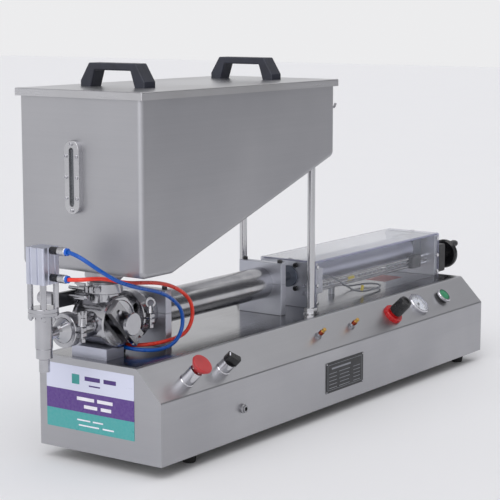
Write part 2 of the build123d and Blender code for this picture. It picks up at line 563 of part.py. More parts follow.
def nozzle():
    z0, z1 = NOZZLE_BODY_Z
    body = Box(NOZZLE_BODY, NOZZLE_BODY, z1 - z0, align=LOW)
    body = soft_edges(body, 3.0, lambda e: abs(abs(e.center().X) - abs(e.center().Y)) < 0.01
                      and 1 < e.center().Z < z1 - z0 - 1)
    for turn in (0, 90, 180, 270):
        for offset in (-GROOVE_AT, GROOVE_AT):
            groove = Pos(NOZZLE_BODY / 2, offset, -1) * Cylinder(GROOVE_R, z1 - z0 + 2, align=LOW)
            body -= Rotation(0, 0, turn) * groove
    bore_r = 10.0
    body -= Pos(0, 0, 8) * Cylinder(bore_r, z1 - z0 - 14, align=LOW)
    body -= Pos(0, 0, -1) * Cylinder(STEM_R + RUN, 20, align=LOW)
    for z in FITTING_Z:
        body -= Pos(0, 0, z - z0) * Rotation(90, 0, 0) * Cylinder(3.0, 40, align=LOW)
    body = Pos(NOZZLE_X, AXIS_Y, z0) * body

    f0, f1 = NOZZLE_FLANGE_Z
    middle = (f0 + f1) / 2
    flange = turned(
        (0, f0), (NOZZLE_FLANGE_R - 0.6, f0), (NOZZLE_FLANGE_R, f0 + 0.6), (NOZZLE_FLANGE_R, middle - 0.5),
        (NOZZLE_FLANGE_R - 1, middle - 0.5), (NOZZLE_FLANGE_R - 1, middle + 0.5),
        (NOZZLE_FLANGE_R, middle + 0.5), (NOZZLE_FLANGE_R, f1 - 0.6), (NOZZLE_FLANGE_R - 0.6, f1), (0, f1),
    )
    flange -= Pos(0, 0, f0 - 1) * Cylinder(STEM_R + RUN, 30, align=LOW)
    flange = Pos(NOZZLE_X, AXIS_Y, 0) * flange
    standoffs = []
    for dx in (-NOZZLE_PITCH, NOZZLE_PITCH):
        for dy in (-NOZZLE_PITCH, NOZZLE_PITCH):
            x = NOZZLE_X + dx
            y = AXIS_Y + dy
            standoffs.append(rod_z(4.2, f1, z0, x, y))
            nut = Pos(x, y, f0 - 4.5) * hexagon(7.5, 4.5)
            nut += Pos(x, y, f0 - 5) * Sphere(2.8)
            standoffs.append(nut - block(x - 9, x + 9, y - 9, y + 9, f0, f0 + 9))

    tube = rod_z(NOZZLE_TUBE_R, NOZZLE_TIP_Z, f0, NOZZLE_X, AXIS_Y)
    branch = turned(
        (0, 0), (9.0, 0), (9.0, 24), (11.0, 28), (15.5, 34), (SIDE_NECK_R, 38.5), (SIDE_NECK_R, 44),
        (SIDE_FLANGE_R, 44),
        (SIDE_FLANGE_R, 48), (0, 48),
    )
    tube += Pos(NOZZLE_X, AXIS_Y, AXIS_Z) * TO_X * branch
    tube -= rod_z(NOZZLE_TUBE_R - 2.5, NOZZLE_TIP_Z - 1, f0 - 1, NOZZLE_X, AXIS_Y)
    tube -= rod_z(STEM_R + RUN, f0 - 2, f0 + 1, NOZZLE_X, AXIS_Y)
    tube -= rod_x(6.5, NOZZLE_X, SIDE_JOINT_X + 1, AXIS_Y, AXIS_Z)
    step = NOZZLE_TIP_Z - 14.6
    tip = turned(
        (OUTLET_BORE_R, NOZZLE_END_Z), (8.0, NOZZLE_END_Z), (8.0, step - 2), (9.6, step - 1), (9.6, step),
        (12.1, step), (12.1, NOZZLE_TIP_Z - 1), (11.0, NOZZLE_TIP_Z - 1), (11.0, NOZZLE_TIP_Z),
        (NOZZLE_TUBE_R - 2.5, NOZZLE_TIP_Z), (NOZZLE_TUBE_R - 2.5, NOZZLE_TIP_Z - 6),
        (OUTLET_BORE_R, NOZZLE_TIP_Z - 12),
    )
    tip = Pos(NOZZLE_X, AXIS_Y, 0) * tip

    seat = NOZZLE_TIP_Z - 9.0
    head_z = z0 + 10
    head_r = bore_r - RUN
    stem = turned(
        (0, seat), (6.9, seat + 2.4), (6.9, seat + 6), (STEM_R, seat + 10), (STEM_R, head_z),
        (head_r, head_z), (head_r, head_z + 10), (0, head_z + 10),
    )
    stem = Pos(NOZZLE_X, AXIS_Y, 0) * stem

    fitting = turned(
        (0, -4), (3.0, -4), (3.0, 0), (5.6, 0), (5.6, 14), (6.4, 15), (6.4, 27), (5.4, 28.5), (5.4, 31.8),
        (2.2, 31.8), (2.2, 20), (0, 20),
    )
    face_y = AXIS_Y - NOZZLE_BODY / 2
    fittings = [Pos(NOZZLE_X, face_y, z) * TO_FRONT * fitting for z in FITTING_Z]
    for x, y, z in (BLUE_ROUTE[-1], RED_ROUTE[-1]):
        elbow = Pos(x, y, z) * TO_BACK * turned((0, 9), (2.2, 9), (2.2, 0), (5.2, 0), (5.2, 16), (0, 16))
        elbow += rod_z(4.6, DECK_Z, z, x, y + 11)
        elbow -= Pos(x, y, z) * TO_BACK * Cylinder(2.2, 9, align=LOW)
        elbow += Pos(x, y + 11, DECK_Z) * hexagon(11, 3.5)
        fittings.append(elbow)
    return {
        "nozzle_cylinder": body, "nozzle_flange_and_rods": group(flange, *standoffs),
        "nozzle_tube": tube, "nozzle_tip": tip, "nozzle_stem": stem, "push_in_fittings": group(*fittings),
    }


# ---------------------------------------------------------------- hoses and cable
def cord(name, route, radius):
    """A tube along straight runs joined by arcs as large as the runs allow."""
    points = [Vector(*p) for p in route]
    runs = [b - a for a, b in zip(points, points[1:])]
    radii = []
    for before, after in zip(runs, runs[1:]):
        half_turn = math.radians(before.get_angle(after)) / 2
        radii.append(0.45 * min(before.length, after.length) / math.tan(half_turn))
    path = FilletPolyline(*points, radius=radii)
    start = Plane(origin=points[0], z_dir=runs[0])
    tube = sweep(start * Circle(radius), path=path)
    expected = math.pi * radius ** 2 * path.length
    print(f"{name}: length {path.length:.1f} volume ratio {tube.volume / expected:.4f}")
    print(f"  runs {min(r.length for r in runs):.1f} to {max(r.length for r in runs):.1f}"
          f"  radii {[round(r) for r in radii]}")
    return tube


def cords():
    return {
        "blue_hose": cord("blue hose", BLUE_ROUTE, HOSE_R),
        "red_hose": cord("red hose", RED_ROUTE, HOSE_R),
        "sensor_cable": cord("sensor cable", CABLE_ROUTE, CABLE_R),
    }


# ---------------------------------------------------------------- product cylinder
def product_cylinder():
    front = BLOCK_X[0]
    tube = rod_x(TUBE_OR, front, TUBE_END, AXIS_Y, AXIS_Z) - rod_x(
        TUBE_BORE_R, front - 1, TUBE_END + 1, AXIS_Y, AXIS_Z)
    cap = turned(
        (PIPE_BORE_R, 0), (BIG_FLANGE_R, 0), (BIG_FLANGE_R, FLANGE_T), (BIG_NECK_R, FLANGE_T),
        (BIG_NECK_R, 10), (32.2, 17), (31.4, 24), (30.2, 31), (28.8, front - BIG_JOINT_X),
        (PIPE_BORE_R, front - BIG_JOINT_X),
    )
    cap = Pos(BIG_JOINT_X, AXIS_Y, AXIS_Z) * TO_X * cap
    blocks = []
    for x in BLOCK_X:
        whole = block(x, x + BLOCK_T, AXIS_Y - BLOCK_D / 2, AXIS_Y + BLOCK_D / 2, DECK_Z, DECK_Z + BLOCK_H)
        whole = soft_edges(whole, 0.8)
        whole -= rod_x(TUBE_OR + SET, x - 1, x + BLOCK_T + 1, AXIS_Y, AXIS_Z)
        for spot in block_screws():
            whole -= spot * Pos(0, 0, SCREW_HEAD_H) * Cylinder(SCREW_R, SCREW_L, align=LOW)
        split = SEAM / 2
        blocks.append(whole & block(x, x + BLOCK_T, -BASE_D, BASE_D, 0, AXIS_Z - split))
        blocks.append(whole & block(x, x + BLOCK_T, -BASE_D, BASE_D, AXIS_Z + split, HOPPER_TOP))

    head = rod_x(TUBE_BORE_R - FIT, PISTON_X, PISTON_X + PISTON_T, AXIS_Y, AXIS_Z)
    seals = []
    groove_r = TUBE_BORE_R - 3
    for x in (PISTON_X + 6, PISTON_X + PISTON_T - 10):
        hollow = rod_x(groove_r, x - 1, x + 5, AXIS_Y, AXIS_Z)
        head -= rod_x(TUBE_BORE_R + 5, x, x + 4, AXIS_Y, AXIS_Z) - hollow
        seals.append(rod_x(TUBE_BORE_R - RUN, x, x + 4, AXIS_Y, AXIS_Z) - hollow)
    rod_end = BARREL_X0 + 22
    rod = head + rod_x(ROD_R, PISTON_X + PISTON_T, rod_end, AXIS_Y, AXIS_Z)
    air_r = BARREL_R - BARREL_WALL - RUN
    rod += rod_x(air_r, rod_end - 18, rod_end, AXIS_Y, AXIS_Z)
    return {
        "product_cylinder": tube, "cylinder_front_cap": cap, "clamp_blocks": group(*blocks),
        "piston_rod": rod, "piston_seals": group(*seals),
    }


# ---------------------------------------------------------------- air cylinder and cover
def cap_screw():
    head = turned(
        (0, 0), (SCREW_HEAD_R - 0.4, 0), (SCREW_HEAD_R, 0.4), (SCREW_HEAD_R, SCREW_HEAD_H), (0, SCREW_HEAD_H),
    )
    head -= Pos(0, 0, -1) * hexagon(4.0, 3.6)
    return head + Pos(0, 0, SCREW_HEAD_H) * Cylinder(SCREW_R, SCREW_L, align=LOW)


def plate_screws():
    """Places of the cap screws through the front end plate."""
    return [
        Pos(PLATE_X[0] - SCREW_HEAD_H, AXIS_Y + dy, AXIS_Z + dz) * TO_X
        for dy in (-16.5, 16.5) for dz in (-20.6, 20.6)
    ]


def block_screws():
    """Places of the cap screws that close the two clamp blocks."""
    top = DECK_Z + BLOCK_H + SCREW_HEAD_H
    return [
        Pos(x + BLOCK_T / 2, AXIS_Y + dy, top) * Rotation(180, 0, 0)
        for x in BLOCK_X for dy in (-36.0, 36.0)
    ]


def cover_screws():
    spots = []
    for x in PLATE_X:
        middle = x + PLATE_T / 2
        for z in (170.0, 201.5, 234.0):
            spots.append(Pos(middle, COVER_Y0 - 2.0, z) * TO_BACK)
            spots.append(Pos(middle, COVER_Y1 + 2.0, z) * TO_FRONT)
        spots.append(Pos(middle, AXIS_Y, COVER_TOP + 2.0) * Rotation(180, 0, 0))
    return spots


def air_cap(x0, x1):
    """A square end cap of the air cylinder, its four long edges rounded."""
    half = BARREL_R
    cap = block(x0, x1, AXIS_Y - half, AXIS_Y + half, AXIS_Z - half, AXIS_Z + half)
    return soft_edges(cap, 5.0, lambda e: abs(e.center().X - (x0 + x1) / 2) < 0.1)


def drive():
    y0 = COVER_Y0 + COVER_T
    y1 = COVER_Y1 - COVER_T
    top = COVER_TOP - COVER_T
    plates = []
    for x in PLATE_X:
        plate = block(x, x + PLATE_T, y0, y1, DECK_Z, top)
        plates.append(soft_edges(plate, 0.6))
    cover = block(COVER_X0, COVER_X1, COVER_Y0, COVER_Y1, DECK_Z, COVER_TOP)
    cover = soft_edges(cover, 4.0, lambda e: e.center().Z > COVER_TOP - 0.1 and e.length > 200)
    cover -= block(COVER_X0 - 1, COVER_X1 + 1, y0, y1, DECK_Z - 1, top)

    screws = []
    small = []
    for spot in block_screws():
        screws.append(spot * cap_screw())
    for spot in plate_screws():
        screws.append(spot * cap_screw())
        plates[0] -= spot * Pos(0, 0, SCREW_HEAD_H) * Cylinder(SCREW_R, SCREW_L, align=LOW)
    button = turned((0, 0), (2.6, 0), (3.6, 1.2), (3.6, 2.0), (0, 2.0))
    button += Pos(0, 0, 2) * Cylinder(1.5, 8, align=LOW)
    for spot in cover_screws():
        small.append(spot * button)
        cover -= spot * Pos(0, 0, 1) * Cylinder(1.6, 12, align=LOW)
        for index in range(2):
            plates[index] -= spot * Pos(0, 0, 1) * Cylinder(1.5, 9, align=LOW)

    gland_r = 19.0
    front_cap = rod_x(BARREL_R, PLATE_X[0] + PLATE_T, BARREL_X0, AXIS_Y, AXIS_Z)
    front_cap += rod_x(gland_r, PLATE_X[0] - 4, PLATE_X[0] + PLATE_T, AXIS_Y, AXIS_Z)
    plates[0] -= rod_x(gland_r + SET, PLATE_X[0] - 1, PLATE_X[0] + PLATE_T + 1, AXIS_Y, AXIS_Z)
    front_cap -= rod_x(ROD_R + RUN, PLATE_X[0] - 9, BARREL_X0 + 1, AXIS_Y, AXIS_Z)
    flats = air_cap(BARREL_X0 - 20, BARREL_X0)
    front_cap += flats - rod_x(ROD_R + RUN, BARREL_X0 - 30, BARREL_X0 + 1, AXIS_Y, AXIS_Z)
    rear = air_cap(BARREL_X1, PLATE_X[1])
    barrel = rod_x(BARREL_R, BARREL_X0, BARREL_X1, AXIS_Y, AXIS_Z)
    barrel -= rod_x(BARREL_R - BARREL_WALL, BARREL_X0 - 1, BARREL_X1 + 1, AXIS_Y, AXIS_Z)

    guides = []
    lead_start = PLATE_X[0] + PLATE_T + 20
    for dz in (-GUIDE_DZ, GUIDE_DZ):
        z = SCREW_AXIS_Z + dz
        guides.append(rod_x(GUIDE_R, PLATE_X[0] - 0.5, PLATE_X[1], SCREW_AXIS_Y, z))
        plates[0] -= rod_x(GUIDE_R + SET, PLATE_X[0] - 1, PLATE_X[0] + PLATE_T + 1, SCREW_AXIS_Y, z)
    carriage = Pos(CARRIAGE_X, SCREW_AXIS_Y - 1, SCREW_AXIS_Z) * Box(*CARRIAGE)
    carriage = soft_edges(carriage, 1.5)
    carriage_ends = (CARRIAGE_X - CARRIAGE[0], CARRIAGE_X + CARRIAGE[0])
    for dz in (-GUIDE_DZ, GUIDE_DZ):
        carriage -= rod_x(GUIDE_R + SLIDE, *carriage_ends, SCREW_AXIS_Y, SCREW_AXIS_Z + dz)
    carriage -= rod_x(LEAD_R + SLIDE, *carriage_ends, SCREW_AXIS_Y, SCREW_AXIS_Z)
    bracket = block(PLATE_X[0] + PLATE_T, lead_start - 2, y0 + 1, SCREW_AXIS_Y + 6, 186, 231)
    bracket = soft_edges(bracket, 1.0)
    for dz in (-GUIDE_DZ, GUIDE_DZ):
        bracket -= rod_x(GUIDE_R + SET, PLATE_X[0], lead_start + 5, SCREW_AXIS_Y, SCREW_AXIS_Z + dz)
    end_x, end_y, end_z = CABLE_ROUTE[-1]
    gland = rod_z(6, DECK_Z, end_z + 4, end_x - 7, end_y)
    gland = soft_edges(gland, 1.5, lambda e: e.center().Z > end_z + 3)
    socket = rod_x(CABLE_R + 1.4, lead_start - 2, CABLE_ROUTE[0][0], CABLE_ROUTE[0][1], CABLE_ROUTE[0][2])
    face = rod_x(CABLE_R + 1.2, end_x - 7, end_x, end_y, end_z)

    counter = Box(*COUNTER, align=(Align.MIN, Align.CENTER, Align.CENTER))
    counter = soft_edges(Pos(COVER_X1, SCREW_AXIS_Y, SCREW_AXIS_Z) * counter, 3.0)
    shaft_r = 3.8
    counter -= rod_x(shaft_r + RUN, COVER_X1 - 5, WHEEL_X, SCREW_AXIS_Y, SCREW_AXIS_Z)
    plates[1] -= rod_x(shaft_r + RUN, PLATE_X[1] - 1, COVER_X1 + 1, SCREW_AXIS_Y, SCREW_AXIS_Z)
    screw = rod_x(LEAD_R, lead_start, PLATE_X[1] - 8, SCREW_AXIS_Y, SCREW_AXIS_Z)
    screw += rod_x(shaft_r, PLATE_X[1] - 8, WHEEL_X, SCREW_AXIS_Y, SCREW_AXIS_Z)
    wheel = turned(
        (0, 0), (WHEEL_R - 3, 0), (WHEEL_R, 3), (WHEEL_R, WHEEL_T - 3), (WHEEL_R - 3, WHEEL_T),
        (WHEEL_R - 6, WHEEL_T - 2), (WHEEL_R - 8, 6), (13, 6), (12, WHEEL_T + 1), (0, WHEEL_T + 1),
    )
    wheel += Pos(0, 0, -24) * Cylinder(12, 24, align=LOW)
    wheel = Pos(WHEEL_X, SCREW_AXIS_Y, SCREW_AXIS_Z) * TO_X * wheel
    wheel -= rod_x(shaft_r, WHEEL_X - 40, WHEEL_X, SCREW_AXIS_Y, SCREW_AXIS_Z)
    angle = math.radians(CRANK_ANGLE)
    grip_y = SCREW_AXIS_Y + CRANK_R * math.cos(angle)
    grip_z = SCREW_AXIS_Z + CRANK_R * math.sin(angle)
    pin = rod_x(2.5, WHEEL_X, WHEEL_X + WHEEL_T + 30, grip_y, grip_z)
    wheel += rod_x(7, WHEEL_X + 2, WHEEL_X + WHEEL_T - 1, grip_y, grip_z)
    wheel += pin
    grip = turned(
        (2.56, 0), (5.0, 0), (6.6, 6), (7.2, 16), (6.0, 24), (4.0, 27), (2.56, 27),
    )
    grip = Pos(WHEEL_X + WHEEL_T, grip_y, grip_z) * TO_X * grip
    return {
        "end_plates": group(*plates), "acrylic_cover": cover, "cap_screws": group(*screws),
        "cover_screws": group(*small), "air_barrel": barrel, "air_cylinder_caps": group(front_cap, rear),
        "guide_rods": group(*guides), "sensor_carriage": carriage,
        "sensor_bracket": group(bracket + socket, gland + face), "counter_housing": counter,
        "lead_screw": screw, "handwheel": wheel, "crank_grip": grip,
    }


# ---------------------------------------------------------------- controls
OPERATOR_BACK = -24.0    # how far an operator reaches behind the panel
OPERATOR_R = PANEL_HOLE_R - 0.2
PLUNGER_R = 4.4          # moving plunger inside an operator
PLUNGER_BORE_R = 4.5
ESTOP_BODY_H = 28.0      # body under the mushroom
ESTOP_HEAD_R = 17.0
ESTOP_HEAD_H = 11.0
ESTOP_LIFT = 5.0         # gap under the mushroom, more than its travel
SELECTOR_BODY_H = 19.0
SELECTOR_BAR = (24.0, 12.0, 13.0)
SELECTOR_REST = 135.0    # degrees from +X, seen square to the panel
START_RING_R = 15.0
REGULATOR_NECK_R = 13.0
REGULATOR_RING_R = 18.5
REGULATOR_KNOB_R = 12.5
REGULATOR_TOP = 42.0     # top of the knob above the panel
SPEED_STEM_R = 4.0
SPEED_KNOB_R = 3.9
SPEED_TOP = 20.0
INLET_R = 5.0


def operator_body(radius, height):
    """A raised operator body with a threaded barrel behind the panel."""
    return turned(
        (0, OPERATOR_BACK), (OPERATOR_R, OPERATOR_BACK), (OPERATOR_R, 0), (radius + 1, 0), (radius + 1, 1.5),
        (radius, 2.5), (radius, height), (8.0, height), (8.0, height - 3), (PLUNGER_BORE_R, height - 3),
        (PLUNGER_BORE_R, OPERATOR_BACK + 6), (0, OPERATOR_BACK + 6),
    )


def operators():
    """Emergency stop, selector and start button, each in its own body."""
    start_body = turned(
        (0, OPERATOR_BACK), (OPERATOR_R, OPERATOR_BACK), (OPERATOR_R, 0), (START_RING_R - 2, 0),
        (START_RING_R - 2, 5), (START_RING_R, 6), (START_RING_R, 9), (START_RING_R - 1, 10), (11.8, 10),
        (11.8, 1), (PLUNGER_BORE_R, 1), (PLUNGER_BORE_R, OPERATOR_BACK + 6), (0, OPERATOR_BACK + 6),
    )
    bodies = group(
        on_slope(ESTOP) * operator_body(PANEL_HOLE_R, ESTOP_BODY_H),
        on_slope(SELECTOR) * operator_body(PANEL_HOLE_R, SELECTOR_BODY_H),
        on_slope(START) * start_body,
    )
    skirt = ESTOP_BODY_H + ESTOP_LIFT
    top = skirt + ESTOP_HEAD_H
    mushroom = turned(
        (0, -10), (PLUNGER_R, -10), (PLUNGER_R, skirt), (ESTOP_HEAD_R - 5, skirt),
        (ESTOP_HEAD_R - 0.6, top - 4), (ESTOP_HEAD_R, top - 3), (ESTOP_HEAD_R - 0.4, top - 1),
        (ESTOP_HEAD_R - 1.6, top), (0, top),
    )
    seat = SELECTOR_BODY_H + FIT
    dial = turned(
        (0, -12), (PLUNGER_R, -12), (PLUNGER_R, seat), (PANEL_HOLE_R - 0.3, seat),
        (PANEL_HOLE_R - 0.3, seat + 1), (0, seat + 1),
    )
    bar = Pos(0, 0, seat) * Box(*SELECTOR_BAR, align=LOW)
    bar &= Pos(0, 0, seat) * Cylinder(SELECTOR_BAR[0] / 2, SELECTOR_BAR[2], align=LOW)
    bar = soft_edges(bar, 0.8, lambda e: e.center().Z > seat + SELECTOR_BAR[2] - 0.1)
    cap = turned(
        (0, -12), (PLUNGER_R, -12), (PLUNGER_R, 5.4), (11.4, 5.4), (11.4, 8.0), (10.2, 9.6), (0, 10.2),
    )
    return {
        "button_bodies": bodies, "estop_button": on_slope(ESTOP) * mushroom,
        "selector_knob": on_slope(SELECTOR) * Rotation(0, 0, SELECTOR_REST) * (dial + bar),
        "start_button": on_slope(START) * cap,
    }


def pneumatics():
    """Pressure gauge, regulator, the two speed valves and the air inlet."""
    rim = turned(
        (0, -16), (GAUGE_R - 2, -16), (GAUGE_R - 2, 0), (GAUGE_R, 0), (GAUGE_R, 5), (GAUGE_R - 1.5, 7),
        (GAUGE_R - 3.2, 7), (GAUGE_R - 3.6, 1.0), (2.0, 1.0), (2.0, -6), (0, -6),
    )
    gauge = on_slope(GAUGE) * rim.rotate(Axis.Z, 180)
    needle = turned((0, -5), (1.9, -5), (1.9, 2.2), (2.4, 2.6), (2.4, 3.4), (0, 3.4))
    blade = Pos(0, 4.5, 2.6) * Box(1.1, 16, 0.6, align=LOW)
    needle = on_slope(GAUGE) * Rotation(0, 0, 135) * (needle + blade)

    collar = turned(
        (0, -30), (REGULATOR_NECK_R, -30), (REGULATOR_NECK_R, 0), (REGULATOR_RING_R, 0),
        (REGULATOR_RING_R, 6), (REGULATOR_RING_R - 1.5, 8), (10, 8), (10, 10), (5, 10), (5, 3), (0, 3),
    )
    knob_r = REGULATOR_KNOB_R
    top = REGULATOR_TOP
    knob = turned(
        (0, 4), (4.9, 4), (4.9, 10.6), (knob_r - 0.6, 10.6), (knob_r, 12), (knob_r - 0.5, top - 4),
        (knob_r - 2, top), (6, top), (6, top - 1.5), (0, top - 1.5),
    )
    notches = 20
    for index in range(notches):
        turn = Rotation(0, 0, index * 360 / notches)
        knob -= turn * Pos(knob_r + 0.35, 0, 13) * Cylinder(1.1, top, align=LOW)
        collar -= turn * Pos(REGULATOR_RING_R + 0.3, 0, 1) * Cylinder(1.2, top, align=LOW)
    regulator_knob = on_slope(REGULATOR) * knob

    bodies = [on_slope(REGULATOR) * collar]
    knobs = []
    for spot in SPEED:
        nut = hexagon(11, 4.0) + Pos(0, 0, -14) * Cylinder(SPEED_STEM_R, 20, align=LOW)
        nut -= Pos(0, 0, 2) * Cylinder(2.1, SPEED_TOP, align=LOW)
        bodies.append(on_slope(spot) * nut)
        twist = turned(
            (0, 3), (2.0, 3), (2.0, 6.3), (SPEED_KNOB_R, 6.3), (SPEED_KNOB_R, 13), (3.2, 13.6),
            (3.2, SPEED_TOP - 0.5), (2.7, SPEED_TOP), (0, SPEED_TOP),
        )
        knobs.append(on_slope(spot) * twist)

    inlet = turned((3.2, -12), (4.9, -12), (4.9, 0), (7.2, 0), (7.2, 3), (5.6, 4.5), (5.6, 7), (3.2, 7))
    inlet += turned((0, -12), (3.2, -12), (3.2, -9), (0, -9))
    inlet = Pos(INLET_X, -BASE_D / 2, INLET_Z) * TO_FRONT * inlet
    return {
        "gauge_body": gauge, "gauge_needle": needle, "regulator_knob": regulator_knob,
        "pneumatic_bodies": group(*bodies), "speed_knob_left": knobs[0], "speed_knob_right": knobs[1],
        "air_inlet": inlet,
    }


def build():
    """Every node of the machine, in the working frame."""
    nodes = {}
    makers = (
        base, labels, hopper, valve, clamps, nozzle, cords, product_cylinder, drive, operators, pneumatics,
    )
    for maker in makers:
        nodes.update(maker())
    return nodes


CORD_NODES = ("blue_hose", "red_hose", "sensor_cable")


def footprint_shift(nodes):
    """The move that puts the origin at the middle of the footprint."""
    boxes = [shape.bounding_box() for name, shape in nodes.items() if name not in CORD_NODES]
    low_x = min(b.min.X for b in boxes)
    high_x = max(b.max.X for b in boxes)
    low_y = min(b.min.Y for b in boxes)
    high_y = max(b.max.Y for b in boxes)
    return Location((-(low_x + high_x) / 2, -(low_y + high_y) / 2, 0))


if __name__ == "__main__":
    machine = build()
    shift = footprint_shift(machine)
    print("nodes", len(machine), "shift", [round(v, 4) for v in shift.position])
    os.makedirs("parts", exist_ok=True)
    for name, shape in machine.items():
        export_step(shape.moved(shift), f"parts/{name}.step")
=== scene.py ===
"""Looks of a bench-top piston liquid filler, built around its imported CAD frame."""
import bpy
import bmesh
import math
from mathutils import Matrix, Vector


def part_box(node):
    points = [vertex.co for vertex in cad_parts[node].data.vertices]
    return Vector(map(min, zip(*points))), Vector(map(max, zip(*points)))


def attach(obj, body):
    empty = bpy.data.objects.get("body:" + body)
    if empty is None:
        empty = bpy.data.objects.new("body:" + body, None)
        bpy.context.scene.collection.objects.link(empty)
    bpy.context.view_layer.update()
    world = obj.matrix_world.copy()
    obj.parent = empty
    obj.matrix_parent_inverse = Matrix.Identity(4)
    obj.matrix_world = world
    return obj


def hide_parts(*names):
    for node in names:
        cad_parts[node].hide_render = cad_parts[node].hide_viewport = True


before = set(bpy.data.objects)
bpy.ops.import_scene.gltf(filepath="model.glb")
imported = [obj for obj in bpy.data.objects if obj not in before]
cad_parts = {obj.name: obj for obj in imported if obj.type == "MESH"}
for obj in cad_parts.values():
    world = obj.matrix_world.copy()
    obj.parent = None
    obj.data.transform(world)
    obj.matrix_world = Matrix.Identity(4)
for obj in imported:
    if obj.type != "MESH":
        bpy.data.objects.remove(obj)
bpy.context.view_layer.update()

# ---- Standing place and camera -----------------------------------------------------
# The machine stands on its feet on a bench. Its places are read along the base from
# the nozzle end, across from the base's middle, and up from the bench, in millimetres.
base_low, base_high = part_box("base_housing")
NOZZLE_END = base_low[0]
MIDDLE = (base_low[1] + base_high[1]) / 2
MM = 0.001


def spot(along, across, height):
    """A place on the machine, from millimetres to the frame's metres."""
    return Vector((NOZZLE_END + along * MM, MIDDLE + across * MM, height * MM))


EYE = (-1775.26, -1536.66, 686.25)
EYE_TURN = 35.38                     # degrees from the base's length
EYE_DROP = 8.65                      # degrees below level
EYE_LENS = 115.97                    # on a 36 mm wide film
lens = bpy.data.cameras.new("camera")
lens.sensor_width = 36.0
lens.lens = EYE_LENS
lens.clip_end = 60.0
camera = bpy.data.objects.new("camera", lens)
camera.location = spot(*EYE)
camera.rotation_euler = (math.radians(90 - EYE_DROP), 0, math.radians(EYE_TURN - 90))
bpy.context.collection.objects.link(camera)
bpy.context.scene.camera = camera


# ---- Air hoses of the nozzle cylinder ----------------------------------------------
# Two soft polyurethane tubes, 6 mm, blue and red. They push into the fittings on the
# small nozzle cylinder, swing round the valve and go down into elbows under it.
def paint(code):
    """A colour from its usual screen code, as the shader wants it."""
    parts = [int(code[i:i + 2], 16) / 255 for i in (0, 2, 4)]
    return tuple(((p + 0.055) / 1.055) ** 2.4 if p > 0.04 else p / 12.92 for p in parts) + (1.0,)


def finish(name, colour, metallic, roughness, **sockets):
    """A new finish; its plain values stand on the shader's own sockets."""
    made = bpy.data.materials.new(name)
    made.use_nodes = True
    shader = made.node_tree.nodes["Principled BSDF"]
    shader.inputs["Base Color"].default_value = colour
    shader.inputs["Metallic"].default_value = metallic
    shader.inputs["Roughness"].default_value = roughness
    for key, value in sockets.items():
        shader.inputs[key.replace("_", " ")].default_value = value
    made.diffuse_color = colour
    return made


def add(made, kind, feeds=None, **settings):
    """One more node in a finish; feeds are values or sockets by input name."""
    tree = made.node_tree
    new = tree.nodes.new("ShaderNode" + kind)
    for key, value in settings.items():
        setattr(new, key, value)
    for key, value in (feeds or {}).items():
        if isinstance(value, bpy.types.NodeSocket):
            tree.links.new(value, new.inputs[key])
        else:
            new.inputs[key].default_value = value
    return new


def into(made, key, source):
    """A socket's source for one of the finish's main inputs."""
    shader = made.node_tree.nodes["Principled BSDF"]
    made.node_tree.links.new(source, shader.inputs[key])


def cloud(made, size, stretch=(1.0, 1.0, 1.0), detail=3.0):
    """Soft noise on the piece's own coordinates; size is how many to the metre."""
    where = add(made, "TexCoord").outputs["Object"]
    placed = add(made, "Mapping", {"Vector": where, "Scale": stretch}).outputs["Vector"]
    return add(made, "TexNoise", {"Vector": placed, "Scale": size, "Detail": detail}).outputs["Fac"]


def span(made, source, low, high, source_low=0.3, source_high=0.7):
    """The source stretched between two values."""
    feeds = {"Value": source, "From Min": source_low, "From Max": source_high, "To Min": low, "To Max": high}
    return add(made, "MapRange", feeds).outputs["Result"]


def between(made, source, colour_a, colour_b):
    """A colour between two, as the source goes from 0 to 1."""
    mix = add(made, "Mix", {"Factor": source}, data_type="RGBA")
    for socket, colour in ((mix.inputs[6], colour_a), (mix.inputs[7], colour_b)):
        if isinstance(colour, bpy.types.NodeSocket):
            made.node_tree.links.new(colour, socket)
        else:
            socket.default_value = colour
    return mix.outputs[2]


def rise(made, source, height, strength=1.0):
    """Surface relief from a source, with its height in metres."""
    bump = add(made, "Bump", {"Height": source, "Distance": height, "Strength": strength})
    into(made, "Normal", bump.outputs["Normal"])


def soft_plastic(name, code, deeper, roughness, pores=900.0, relief=0.00004):
    """Moulded plastic: slightly clouded colour, uneven gloss, fine pores."""
    made = finish(name, paint(code), 0.0, roughness)
    tone = cloud(made, 45.0)
    into(made, "Base Color", between(made, span(made, tone, 0.0, 1.0), paint(code), paint(deeper)))
    into(made, "Roughness", span(made, cloud(made, 120.0), roughness - 0.07, roughness + 0.09))
    rise(made, cloud(made, pores), relief)
    return made


def hose(name, points, diameter, material):
    """A free hose on one smooth spline through its listed points."""
    line = bpy.data.curves.new(name, "CURVE")
    line.dimensions = "3D"
    line.bevel_depth = diameter / 2 * MM
    line.bevel_resolution = 5
    line.resolution_u = 10
    line.use_fill_caps = True
    spline = line.splines.new("NURBS")
    spline.points.add(len(points) - 1)
    for point, place in zip(spline.points, points):
        point.co = (*spot(*place), 1.0)
    spline.order_u = 3
    spline.use_endpoint_u = True
    piece = bpy.data.objects.new(name, line)
    bpy.context.collection.objects.link(piece)
    line.materials.append(material)
    return piece


